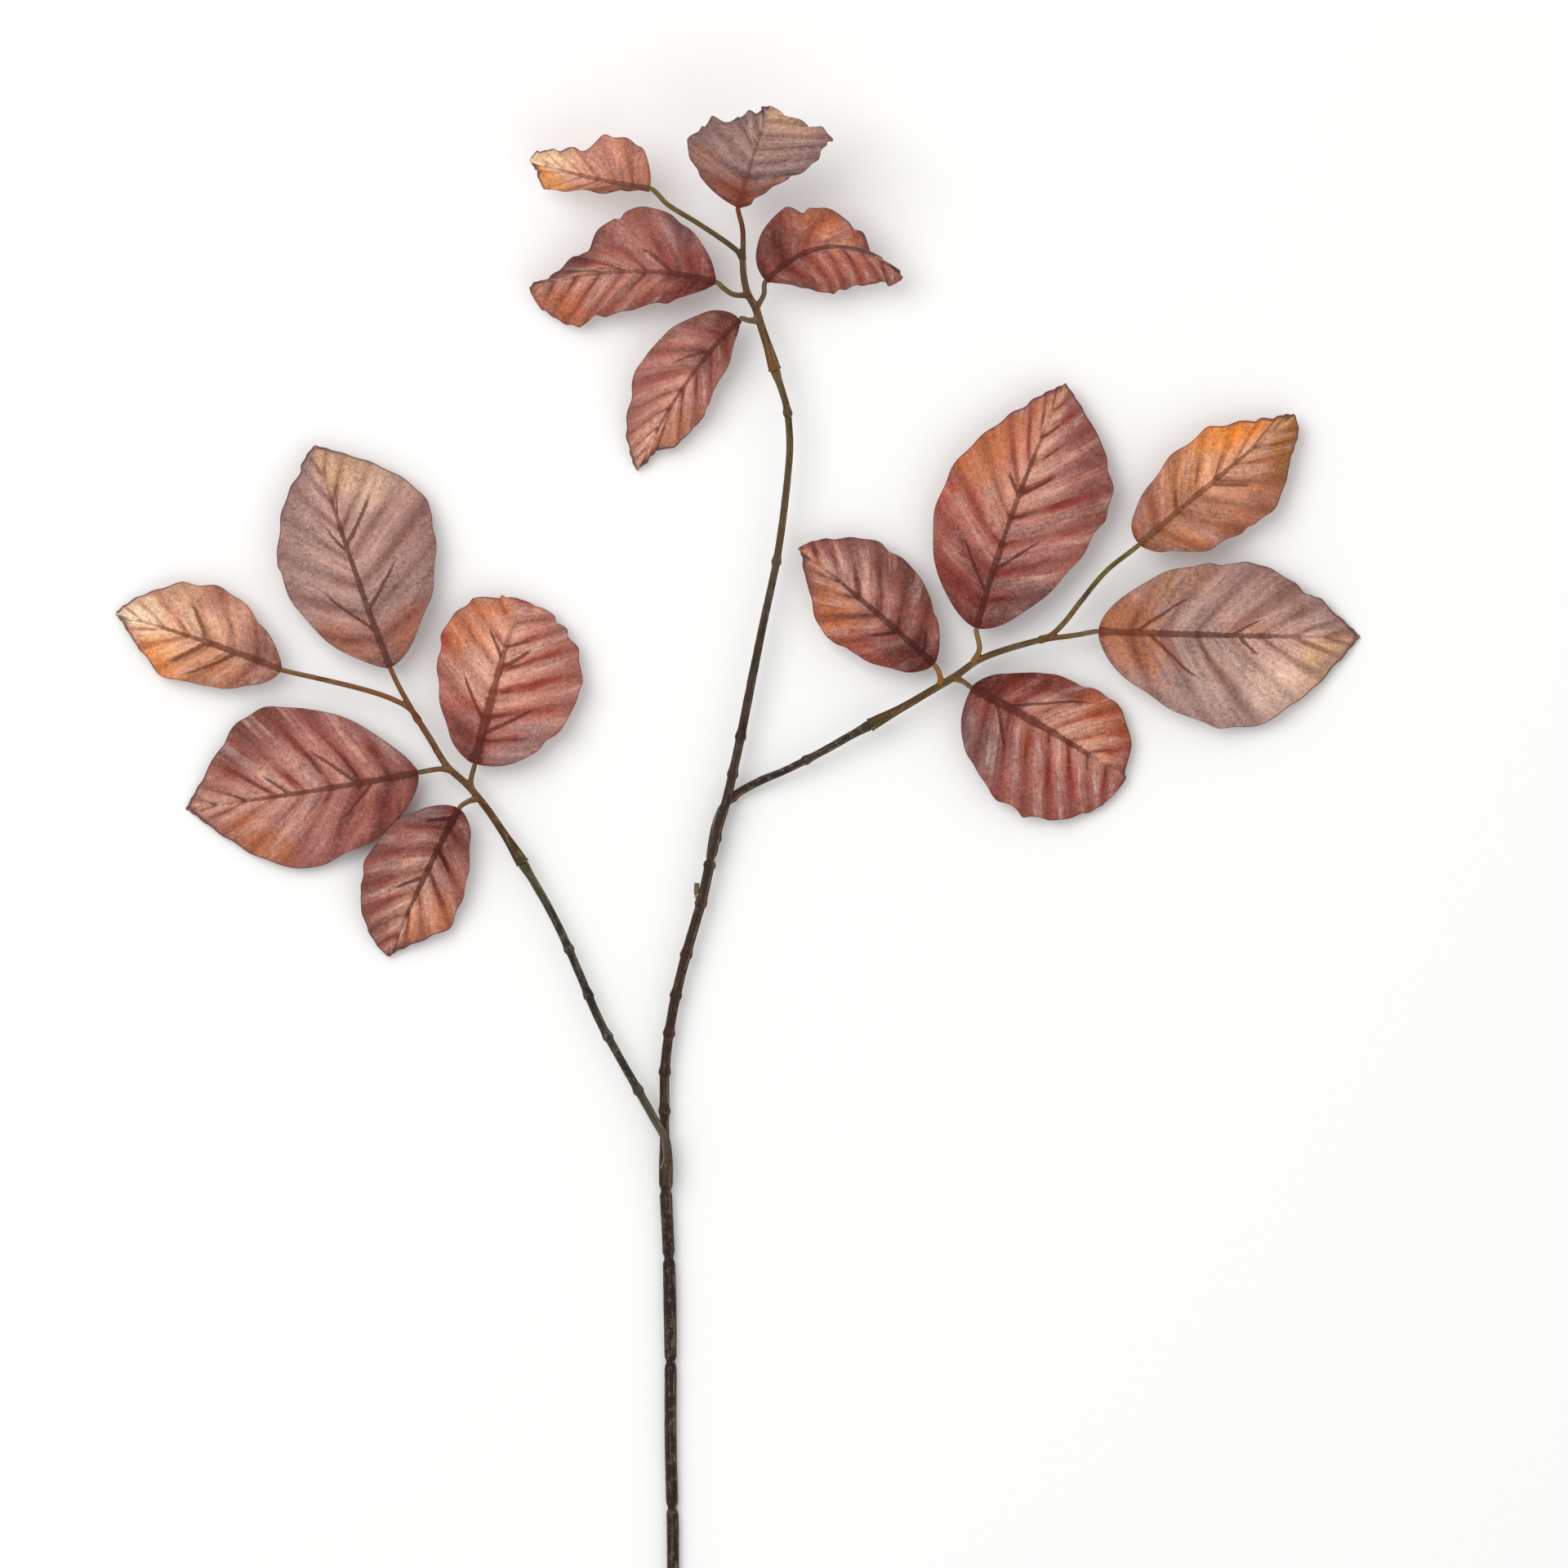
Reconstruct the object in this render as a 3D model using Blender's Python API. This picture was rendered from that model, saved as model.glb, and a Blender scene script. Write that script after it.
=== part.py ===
# An artificial autumn leaf spray, lying on its back on a flat surface.
# A wire stem in a dark plastic skin carries two side stems. A moulded twig is pushed over the
# end of each wire, and fifteen pleated fabric leaves sit on the twigs' stalks.
# Every size is in millimetres on the design plane: x across, y up the stem, z off the surface.

import math

import bpy
import bmesh
from mathutils import Vector

MM = 0.001
UP = Vector((0, 0, 1))

# The middle of the spray's outline on the design plane, which becomes the origin.
MIDDLE = (27.7, 250.3)

GAP = 0.3                # between pieces that touch
STEM_SIDES = 8
STALK_SIDES = 6
LINE_STEP = 0.15         # spacing of the points that a smooth line is first read at

MAIN_WIRE_RADIUS = 0.7
SIDE_WIRE_RADIUS = 0.6
WIRE_IN_TWIG = 12.0      # how far a wire reaches into its twig
SOLID_FOOT = 3.0         # the start of a side stem, before its wire begins
SEAT_CLEARANCE = 0.35    # round a side stem's foot in the main stem
SLEEVE_SWELL = 0.95      # how much fatter a twig is at its mouth
SLEEVE_LENGTH = 10.0
FLARE = 0.5              # how much a skin widens where it meets the twig
FLARE_LENGTH = 4.0

BLADE_THICKNESS = 0.8
RIB_AT_BASE = 1.1        # half width of a leaf's middle rib
RIB_AT_TIP = 0.35
RIB_RISE_AT_BASE = 0.8   # how far the rib stands off the blade
RIB_RISE_AT_TIP = 0.15

# Lines: each point is x, y, z and the radius there. The skin ends and the twig starts at "mouth".

MAIN_LINE = {
    "points": [
        (0.0, -125.0, 2.402, 2.6), (0.0, -50.0, 2.402, 2.6), (0.0, 14.0, 2.42, 2.6),
        (-0.4, 30.0, 2.5, 2.6), (-1.0, 56.0, 2.7, 2.6), (-1.0, 88.0, 3.0, 2.6),
        (-1.3, 114.0, 3.3, 2.8), (-2.0, 140.0, 3.6, 2.6), (-2.9, 158.0, 3.9, 2.7),
        (-3.0, 165.0, 4.1, 3.0), (-3.0, 176.0, 4.3, 2.9), (-3.5, 184.0, 4.6, 2.1),
        (-3.6, 200.0, 5.0, 2.1), (-3.5, 212.0, 5.4, 2.1), (-1.9, 227.5, 5.9, 2.1),
        (1.2, 245.0, 6.4, 2.1), (6.0, 264.0, 6.9, 2.15), (12.6, 287.0, 7.5, 2.15),
        (15.7, 301.0, 8.0, 2.2), (19.4, 317.6, 8.5, 2.1), (22.7, 328.0, 8.7, 2.0),
        (26.2, 343.0, 9.0, 1.9), (29.9, 360.5, 9.5, 1.9), (34.0, 381.5, 10.1, 1.85),
        (39.0, 406.0, 10.9, 1.7), (44.5, 432.0, 11.8, 1.6), (47.8, 455.0, 12.6, 1.55),
        (49.9, 476.0, 13.3, 1.5), (50.0, 485.0, 13.6, 1.5), (48.8, 497.0, 14.0, 1.5),
        (46.5, 505.0, 14.3, 1.5), (43.8, 513.0, 14.6, 1.65), (41.3, 521.5, 15.0, 1.7),
        (37.8, 532.0, 15.8, 1.75), (35.4, 539.7, 16.5, 1.7), (32.0, 546.0, 17.2, 1.55),
        (30.4, 553.0, 18.1, 1.45), (29.8, 562.0, 19.4, 1.35),
    ],
    "mouth": (43.8, 513.0),
    "rings": [195, 212, 228.5, 244.6, 262, 284.5, 302, 305.5, 312, 339.5, 355.6, 430.5, 494],
    "pinches": [25.5, 88.0, 132.5, 161.5],
}

# A clipped stub of a third side stem, moulded on the main stem.
STUB = [(9.8, 284.6, 8.0, 0.8), (10.1, 288.0, 8.0, 1.15), (10.4, 293.6, 8.2, 1.1)]

LEFT_LINE = {
    "points": [
        (-2.6, 164.0, 8.0, 1.5), (-2.2, 170.0, 8.2, 1.8), (-2.0, 177.0, 8.5, 1.8),
        (-3.2, 184.0, 9.0, 1.75), (-7.9, 192.5, 9.5, 1.75), (-13.8, 203.0, 9.6, 1.8),
        (-22.9, 219.0, 9.4, 1.75), (-31.8, 235.5, 9.2, 1.8), (-39.4, 253.4, 9.1, 1.75),
        (-46.4, 269.5, 9.2, 1.75), (-53.4, 283.5, 9.4, 1.75), (-58.6, 292.6, 9.6, 1.75),
        (-64.3, 302.0, 9.9, 1.75), (-70.2, 311.5, 10.1, 1.7), (-78.4, 323.8, 10.3, 1.6),
        (-83.0, 329.8, 10.5, 1.55), (-88.2, 335.8, 10.7, 1.5), (-96.6, 343.6, 11.0, 1.45),
        (-103.7, 354.9, 11.3, 1.4), (-111.0, 366.5, 11.7, 1.3),
    ],
    "mouth": (-64.3, 302.0),
    "rings": [204, 227.2, 245, 264.6],
}

RIGHT_LINE = {
    "points": [
        (15.6, 303.0, 4.4, 1.4), (16.5, 309.0, 4.3, 1.75), (18.3, 318.0, 4.3, 1.75),
        (21.0, 325.2, 4.2, 1.75), (26.6, 331.2, 4.3, 1.75), (37.1, 337.2, 5.6, 1.75),
        (47.6, 341.6, 7.0, 1.6), (61.6, 348.6, 8.6, 1.65), (75.6, 356.4, 9.6, 1.75),
        (84.3, 361.2, 10.1, 1.8), (98.0, 368.6, 10.6, 1.7), (112.7, 377.2, 11.0, 1.6),
        (121.0, 382.2, 11.3, 1.6), (130.5, 388.8, 11.6, 1.45), (142.0, 393.4, 12.0, 1.4),
        (159.0, 398.2, 12.6, 1.3),
    ],
    "mouth": (84.3, 361.2),
    "rings": [330, 346],
}

# Stalks: each starts inside its twig and ends at the base of the leaf that it is named for.

STALKS = {
    "leaf_left_1": [(-109.4, 363.8, 11.6), (-112.4, 369.0, 11.9), (-117.4, 378.0, 12.6)],
    "leaf_left_2": [(-108.6, 362.8, 11.6), (-112.4, 368.0, 11.8), (-118.4, 371.6, 11.9),
                    (-128.0, 375.2, 12.0), (-143.2, 379.2, 12.0)],
    "leaf_left_3": [(-86.6, 333.6, 10.6), (-86.4, 338.0, 10.8)],
    "leaf_left_4": [(-95.4, 342.2, 11.0), (-100.4, 342.4, 11.2)],
    "leaf_left_5": [(-83.6, 330.0, 10.4), (-88.2, 328.2, 11.0)],
    "leaf_right_1": [(114.8, 378.4, 11.0), (114.2, 383.0, 11.8)],
    "leaf_right_2": [(129.2, 388.6, 11.6), (131.3, 394.2, 12.0)],
    "leaf_right_3": [(157.2, 397.8, 12.5), (162.0, 399.8, 12.7), (168.0, 405.6, 13.0),
                     (174.2, 413.6, 13.2), (185.4, 427.0, 13.6)],
    "leaf_right_4": [(157.0, 397.6, 12.5), (164.0, 398.6, 12.7), (173.0, 399.8, 12.9)],
    "leaf_right_5": [(120.0, 381.6, 11.2), (124.4, 379.8, 11.6)],
    "leaf_top_1": [(29.9, 561.0, 19.3), (27.6, 564.0, 19.8), (19.6, 570.0, 21.4),
                   (9.8, 576.4, 23.4), (-2.0, 583.7, 25.2)],
    "leaf_top_2": [(29.8, 560.6, 19.2), (30.1, 566.0, 20.0), (29.8, 574.0, 21.6)],
    "leaf_top_3": [(35.2, 538.8, 16.4), (38.9, 545.2, 18.2)],
    "leaf_top_4": [(32.8, 545.2, 17.2), (26.2, 545.4, 18.0), (21.6, 548.2, 19.0)],
    "leaf_top_5": [(36.2, 534.4, 16.2), (32.4, 534.4, 16.6)],
}

# Leaves: base and tip are the ends of the middle rib, arch is its rise between them, and bow
# bends it sideways (to the left as the leaf points). A side is its width from the rib, where along
# the leaf it is widest, how sharply it rises and falls there, and any bulge or dent (where, how
# far out, half length). A lift is how far that side's edge is raised, and how far it is cupped.

LEAVES = {
    "leaf_left_1": {
        "base": (-121.1, 386.0, 13.0), "tip": (-153.3, 481.0, 7.0), "arch": 5.0, "bow": 1.0,
        "left": (30.5, 0.49, 0.70, 0.80),
        "right": (38.5, 0.60, 0.60, 0.95),
        "lift": ((-1.5, -2.0), (-1.0, -3.5)), "veins": 8, "ruffle": (0.7, 3.4, 0.1),
    },
    "leaf_left_2": {
        "base": (-167.9, 385.0, 11.6), "tip": (-238.8, 409.0, 2.0), "arch": 3.5, "bow": -1.0,
        "left": (19.5, 0.58, 0.50, 1.15),
        "right": (23.5, 0.50, 0.70, 0.75),
        "lift": ((-1.0, -1.5), (1.0, -2.5)), "veins": 7, "ruffle": (0.8, 3.0, 0.4),
    },
    "leaf_left_3": {
        "base": (-84.7, 344.8, 12.0), "tip": (-65.4, 415.0, 8.0), "arch": 4.5, "bow": 0.6,
        "left": (27.0, 0.67, 0.55, 0.35),
        "right": (35.5, 0.56, 0.42, 0.38),
        "lift": ((-1.0, -1.5), (-1.0, -3.0)), "veins": 7, "ruffle": (0.9, 4.0, 0.2),
    },
    "leaf_left_4": {
        "base": (-109.2, 340.9, 12.0), "tip": (-208.6, 325.4, 0.75), "arch": 5.5, "bow": 0.8,
        "left": (31.5, 0.52, 0.53, 1.05),
        "right": (38.0, 0.59, 0.70, 1.00),
        "lift": ((-3.5, -2.5), (-1.0, -3.0)), "veins": 8, "ruffle": (0.7, 3.0, 0.0),
    },
    "leaf_left_5": {
        "base": (-91.7, 325.4, 12.0), "tip": (-121.6, 262.2, 3.0), "arch": 4.0, "bow": -0.8,
        "left": (19.0, 0.60, 0.55, 1.20),
        "right": (25.5, 0.50, 0.52, 0.60),
        "lift": ((-1.5, -2.0), (0.5, -0.5)), "veins": 7, "ruffle": (0.7, 3.4, 0.3),
    },
    "leaf_right_1": {
        "base": (111.7, 387.4, 13.0), "tip": (54.0, 437.0, 8.0), "arch": 4.0, "bow": -0.6,
        "left": (21.0, 0.55, 0.50, 1.25),
        "right": (25.0, 0.54, 0.60, 0.70),
        "lift": ((-1.0, -2.0), (-1.0, -2.5)), "veins": 7, "ruffle": (0.7, 3.2, 0.0),
    },
    "leaf_right_2": {
        "base": (130.0, 402.9, 13.6), "tip": (168.2, 507.4, 8.0), "arch": 6.0, "bow": 2.4,
        "left": (32.0, 0.43, 0.60, 0.95),
        "right": (37.5, 0.63, 0.55, 0.90),
        "lift": ((-1.0, -3.0), (-1.0, -3.5)), "veins": 9, "ruffle": (0.6, 3.0, 0.2),
    },
    "leaf_right_3": {
        "base": (199.9, 438.6, 14.4), "tip": (266.2, 494.2, 7.0), "arch": 4.0, "bow": 0.4,
        "left": (19.5, 0.52, 0.35, 1.20),
        "right": (25.5, 0.52, 0.60, 0.75),
        "lift": ((-0.5, -2.0), (-1.0, -2.0)), "veins": 8, "ruffle": (0.9, 3.6, 0.5),
    },
    "leaf_right_4": {
        "base": (182.4, 401.4, 13.0), "tip": (294.3, 399.0, 0.75), "arch": 6.5, "bow": -0.6,
        "left": (31.0, 0.50, 0.55, 0.90),
        "right": (39.0, 0.55, 0.55, 1.00),
        "lift": ((-1.0, -2.0), (-1.5, -3.5)), "veins": 8, "ruffle": (0.8, 3.4, 0.1),
    },
    "leaf_right_5": {
        "base": (128.1, 377.2, 12.4), "tip": (194.0, 338.4, 4.0), "arch": 4.5, "bow": 1.0,
        "left": (25.5, 0.70, 0.58, 0.85),
        "right": (36.5, 0.55, 0.38, 0.38),
        "lift": ((-1.0, -2.0), (-1.0, -3.0)), "veins": 8, "ruffle": (0.8, 4.0, 0.3),
    },
    "leaf_top_1": {
        "base": (-9.8, 590.8, 26.4), "tip": (-61.2, 602.6, 21.0), "arch": 5.0, "bow": 1.2,
        "left": (8.5, 0.82, 1.00, 1.60),
        "right": (20.0, 0.35, 0.40, 0.80, (0.60, -6.5, 0.15)),
        "lift": ((-12.0, 0.0), (4.0, -3.0)), "veins": 7, "ruffle": (0.9, 3.6, 0.2),
    },
    "leaf_top_2": {
        "base": (27.9, 582.8, 24.0), "tip": (41.8, 625.2, 50.0), "arch": 8.0, "bow": 0.4,
        "left": (28.5, 0.45, 0.67, 1.20),
        "right": (29.5, 0.90, 1.05, 0.60),
        "lift": ((4.0, -2.0), (4.0, -2.0)), "veins": 7, "ruffle": (1.4, 4.0, 0.1),
    },
    "leaf_top_3": {
        "base": (39.9, 551.4, 20.6), "tip": (98.2, 552.4, 16.0), "arch": 5.0, "bow": 14.0,
        "left": (20.5, 0.29, 0.50, 2.70),
        "right": (20.0, 0.42, 0.80, 0.60),
        "lift": ((3.0, -2.0), (-9.0, 0.0)), "veins": 7, "ruffle": (1.1, 3.8, 0.3),
    },
    "leaf_top_4": {
        "base": (18.2, 550.9, 20.2), "tip": (-61.2, 547.8, 9.0), "arch": 6.0, "bow": -6.0,
        "left": (19.5, 0.82, 0.62, 0.60),
        "right": (27.0, 0.38, 0.70, 2.20),
        "lift": ((-7.0, 0.0), (2.0, -3.0)), "veins": 8, "ruffle": (1.1, 3.6, 0.2),
    },
    "leaf_top_5": {
        "base": (28.4, 534.8, 17.2), "tip": (-15.3, 470.4, 3.0), "arch": 5.0, "bow": -3.6,
        "left": (14.0, 0.62, 0.70, 1.60),
        "right": (20.5, 0.44, 0.43, 0.75),
        "lift": ((-4.0, 0.0), (0.0, -3.0)), "veins": 8, "ruffle": (0.9, 3.6, 0.1),
    },
}

VEIN_LEAN = 0.26         # how far up the leaf a side vein ends, as a share of its length
PLEAT = 0.7              # height of a pleat over the leaf's mean surface
EDGE_WAVE = 0.4          # how far the edge stands out at the end of a side vein
FOLDS_ACROSS = (0.0, 0.5, 1.0)
END_ROWS = (0.02, 0.975)

COLOURS = {
    "skin": (0.045, 0.030, 0.022),
    "wire": (0.55, 0.55, 0.56),
    "twig": (0.16, 0.09, 0.035),
    "leaf_left": (0.38, 0.16, 0.12),
    "leaf_right": (0.42, 0.17, 0.12),
    "leaf_top": (0.40, 0.16, 0.12),
}


def material(name, colour, roughness, metallic=0.0):
    made = bpy.data.materials.new(name)
    made.use_nodes = True
    shader = made.node_tree.nodes["Principled BSDF"]
    shader.inputs["Base Color"].default_value = (*colour, 1.0)
    shader.inputs["Roughness"].default_value = roughness
    shader.inputs["Metallic"].default_value = metallic
    return made


def add_object(name, vertices, faces, finish):
    """Makes one closed mesh with its faces pointing out, under the spray's own empty."""
    mesh = bpy.data.meshes.new(name)
    mesh.from_pydata([v * MM for v in vertices], [], faces)
    shape = bmesh.new()
    shape.from_mesh(mesh)
    bmesh.ops.recalc_face_normals(shape, faces=shape.faces)
    shape.to_mesh(mesh)
    shape.free()
    mesh.shade_smooth()
    mesh.set_sharp_from_angle(angle=math.radians(50))
    mesh.materials.append(finish)
    piece = bpy.data.objects.new(name, mesh)
    bpy.context.scene.collection.objects.link(piece)
    piece.parent = bpy.data.objects["spray"]
    return piece


# Smooth lines and tubes

def smooth_line(points):
    """Reads a smooth curve through the points: (distance along, centre, radius) at every step."""
    knots = [0.0]
    for a, b in zip(points, points[1:]):
        knots.append(knots[-1] + math.dist(a[:3], b[:3]))
    last = len(points) - 1
    slopes = []
    for i in range(len(points)):
        before, after = max(i - 1, 0), min(i + 1, last)
        span = knots[after] - knots[before]
        slopes.append([(q - p) / span for p, q in zip(points[before], points[after])])
    line = []
    for i in range(last):
        span = knots[i + 1] - knots[i]
        steps = max(1, round(span / LINE_STEP))
        for k in range(steps + (i == last - 1)):
            t = k / steps
            weights = (2 * t**3 - 3 * t**2 + 1, (t**3 - 2 * t**2 + t) * span,
                       3 * t**2 - 2 * t**3, (t**3 - t**2) * span)
            values = [sum(w * v for w, v in zip(weights, four)) for four in
                      zip(points[i], slopes[i], points[i + 1], slopes[i + 1])]
            line.append((knots[i] + t * span, Vector(values[:3]), values[3]))
    return line


def stretch(line, start, end):
    return [sample for sample in line if start <= sample[0] <= end]


def distance_at(line, height):
    """The distance along the line at which its y first passes a height."""
    return next(s for s, centre, radius in line if centre.y >= height)


def nearest(line, x, y):
    return min(line, key=lambda sample: math.hypot(sample[1].x - x, sample[1].y - y))[0]


def sampled(line, distance):
    """The distance of the sample that is nearest to the one asked for."""
    return min(line, key=lambda sample: abs(sample[0] - distance))[0]


def thin_out(line, keep=(), turn=5.0, reach=40.0):
    """Leaves only the samples that a faceted tube needs: its bends, and the places in keep."""
    wanted = {min(range(len(line)), key=lambda i: abs(line[i][0] - s)) for s in keep}
    chosen = [0]
    for i in range(1, len(line) - 1):
        here = (line[i + 1][1] - line[i][1]).normalized()
        before = (line[chosen[-1] + 1][1] - line[chosen[-1]][1]).normalized()
        far = line[i][0] - line[chosen[-1]][0]
        if i in wanted or far > reach or (far > 3 and math.degrees(here.angle(before)) > turn):
            chosen.append(i)
    chosen.append(len(line) - 1)
    return [line[i] for i in chosen]


def rings_along(line, radius_at, sides):
    """One ring of points at each sample, square to the line, with a flat facet underneath."""
    rings = []
    for i, (s, centre, radius) in enumerate(line):
        ahead = line[min(i + 1, len(line) - 1)][1] - line[max(i - 1, 0)][1]
        side = ahead.cross(UP).normalized()
        top = side.cross(ahead).normalized()
        turns = [(k + 0.5) * math.tau / sides for k in range(sides)]
        size = radius_at(s, radius)
        rings.append([centre + (side * math.cos(a) + top * math.sin(a)) * size for a in turns])
    return rings


def walls(count, sides, first):
    """Quads between rings that are numbered from first."""
    faces = []
    for i in range(count - 1):
        for k in range(sides):
            a, b = first + i * sides + k, first + i * sides + (k + 1) % sides
            faces.append((a, a + sides, b + sides, b))
    return faces


def tube(name, rings, finish):
    sides = len(rings[0])
    faces = walls(len(rings), sides, 0)
    faces.append(tuple(range(sides)))
    last = (len(rings) - 1) * sides
    faces.append(tuple(range(last + sides - 1, last - 1, -1)))
    return add_object(name, [p for ring in rings for p in ring], faces, finish)


def bored_tube(name, outside, bore, open_at_start, finish):
    """A skin round a bore that is open at its end, and at its start too where that is asked."""
    sides = len(outside[0])
    inner = len(outside) * sides
    faces = walls(len(outside), sides, 0) + walls(len(bore), sides, inner)
    rims = [((len(outside) - 1) * sides, inner + (len(bore) - 1) * sides)]
    if open_at_start:
        rims.append((0, inner))
    else:
        faces.append(tuple(range(sides)))
        faces.append(tuple(range(inner, inner + sides)))
    for a, b in rims:
        for k in range(sides):
            after = (k + 1) % sides
            faces.append((a + k, a + after, b + after, b + k))
    return add_object(name, [p for ring in outside + bore for p in ring], faces, finish)


def boolean(piece, others, operation):
    """Joins the others to a piece or cuts them from it, applies that and removes the others."""
    tools = bpy.data.collections.new(piece.name + "_tools")
    bpy.context.scene.collection.children.link(tools)
    for other in others:
        bpy.context.scene.collection.objects.unlink(other)
        tools.objects.link(other)
        other.hide_render = True
        other.display_type = "WIRE"
    step = piece.modifiers.new(operation.title(), "BOOLEAN")
    step.operand_type = "COLLECTION"
    step.collection = tools
    step.operation = operation
    step.solver = "EXACT"
    bpy.context.view_layer.update()
    whole = piece.evaluated_get(bpy.context.evaluated_depsgraph_get())
    result = bpy.data.meshes.new_from_object(whole)
    piece.modifiers.remove(step)
    piece.data = result
    for other in others:
        bpy.data.objects.remove(other)
    bpy.data.collections.remove(tools)


# Stems, wires and twigs

def bump(distance, height, reach):
    return height * math.exp(-(distance / reach) ** 2)


RING_HEIGHT, RING_REACH = 0.55, 1.6
PINCH_DEPTH, PINCH_REACH = 0.75, 1.5


def stem(name, route, wire_radius, through, skin_finish, wire_name, wire_finish):
    """A skin with its wire. Returns the skin, the whole line, which runs on through the twig, the
    coarser line that the wire and its holes share, and the place of the twig's mouth."""
    line = smooth_line(route["points"])
    mouth = nearest(line, *route["mouth"])
    rings = [distance_at(line, y) for y in route["rings"]]
    pinches = [distance_at(line, y) for y in route.get("pinches", [])]

    def skin_radius(s, radius):
        swell = sum(bump(s - r, RING_HEIGHT, RING_REACH) for r in rings)
        swell -= sum(bump(s - p, PINCH_DEPTH, PINCH_REACH) for p in pinches)
        return radius + swell + bump(s - mouth, FLARE, FLARE_LENGTH)

    keep = [r + d for r in rings for d in (-2.4, 0.0, 2.4)]
    keep += [p + d for p in pinches for d in (-2.6, 0.0, 2.6)]
    keep += [mouth - 6.0, mouth - 3.0]
    skin_end = sampled(line, mouth - GAP / 2)
    outside = thin_out(stretch(line, 0, skin_end), keep)
    bore_start = 0 if through else sampled(line, SOLID_FOOT)
    wire_start = 0 if through else sampled(line, SOLID_FOOT + GAP)
    wire_end = sampled(line, mouth + WIRE_IN_TWIG)
    hole_end = sampled(line, mouth + WIRE_IN_TWIG + GAP)
    core = thin_out(line, [bore_start, wire_start, skin_end, mouth, wire_end, hole_end])
    bore = rings_along(stretch(core, bore_start, skin_end), lambda s, radius: wire_radius + GAP,
                       STEM_SIDES)
    skin = bored_tube(name, rings_along(outside, skin_radius, STEM_SIDES), bore, through,
                      skin_finish)
    wire = rings_along(stretch(core, wire_start, wire_end), lambda s, radius: wire_radius,
                       STEM_SIDES)
    tube(wire_name, wire, wire_finish)
    return skin, line, stretch(core, skin_end, hole_end), mouth


def add_stub(skin, finish):
    rings = rings_along(thin_out(smooth_line(STUB), turn=1), lambda s, radius: radius, STALK_SIDES)
    boolean(skin, [tube("stub", rings, finish)], "UNION")


def seat_in(skin, route_line, mouth, finish):
    """Cuts the seat of a side stem's foot in the main skin, a gap wider than the foot."""
    foot = thin_out(stretch(route_line, 0, mouth / 2))
    start, centre, radius = foot[0]
    heading = (foot[1][1] - centre).normalized()
    foot[0] = (start, centre - heading * SEAT_CLEARANCE, radius)
    rings = rings_along(foot, lambda s, radius: radius + SEAT_CLEARANCE, STEM_SIDES)
    boolean(skin, [tube("seat_cutter", rings, finish)], "DIFFERENCE")


def twig(name, line, hole_line, mouth, wire_radius, leaves, finish):
    """A moulded twig: its trunk with a sleeve at the mouth, the stalks, and the wire's hole."""

    def trunk_radius(s, radius):
        lip = 0.25 if s < mouth + 1.2 else 0.0
        return radius + SLEEVE_SWELL * math.exp(-((s - mouth) / SLEEVE_LENGTH) ** 2) + lip

    trunk_line = stretch(line, mouth + GAP / 2, line[-1][0])
    keep = [mouth + d for d in (1.0, 1.5, 5.0, 10.0, 15.0)]
    trunk = tube(name, rings_along(thin_out(trunk_line, keep), trunk_radius, STEM_SIDES), finish)
    stalks = [stalk(leaf, finish) for leaf in leaves]
    boolean(trunk, stalks, "UNION")
    hole = rings_along(hole_line, lambda s, radius: wire_radius + GAP, STEM_SIDES)
    boolean(trunk, [tube("wire_hole", hole, finish)], "DIFFERENCE")
    return trunk


STALK_AT_TWIG, STALK_AT_LEAF = 1.1, 0.85
DOCK = 1.6               # the last stretch of a stalk runs in line with the leaf's rib


def stalk(leaf, finish):
    """A leaf's stalk, from inside the twig to the base of the leaf's rib."""
    spec = LEAVES[leaf]
    base = Vector(spec["base"])
    heading = (rib_point(spec, 0.02) - base).normalized()
    points = [Vector(p) for p in STALKS[leaf]] + [base - heading * DOCK, base - heading * GAP]
    shares = [i / (len(points) - 1) for i in range(len(points))]
    sized = [(*p, STALK_AT_TWIG + (STALK_AT_LEAF - STALK_AT_TWIG) * share)
             for p, share in zip(points, shares)]
    rings = rings_along(thin_out(smooth_line(sized), turn=12), lambda s, radius: radius,
                        STALK_SIDES)
    return tube(leaf + "_stalk", rings, finish)


# Leaves

def rib_point(spec, s):
    """The middle rib at a share s of its length."""
    base, tip = Vector(spec["base"]), Vector(spec["tip"])
    chord = tip - base
    aside = Vector((-chord.y, chord.x, 0)).normalized()
    bend = 4 * s * (1 - s) * spec["bow"]
    rise = 4 * s * (1 - s) * spec["arch"]
    return base + chord * s + aside * bend + UP * rise


def half_width(side, u):
    width, widest, rise, fall = side[:4]
    if u < widest:
        shape = math.sin(math.pi / 2 * max(u, 0.0) / widest) ** rise
    else:
        shape = max(math.cos(math.pi / 2 * (u - widest) / (1 - widest)), 0.0) ** fall
    bulges = sum(bump(u - where, out, long) for where, out, long in side[4:])
    return max(width * shape + bulges, 0.0)


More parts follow.
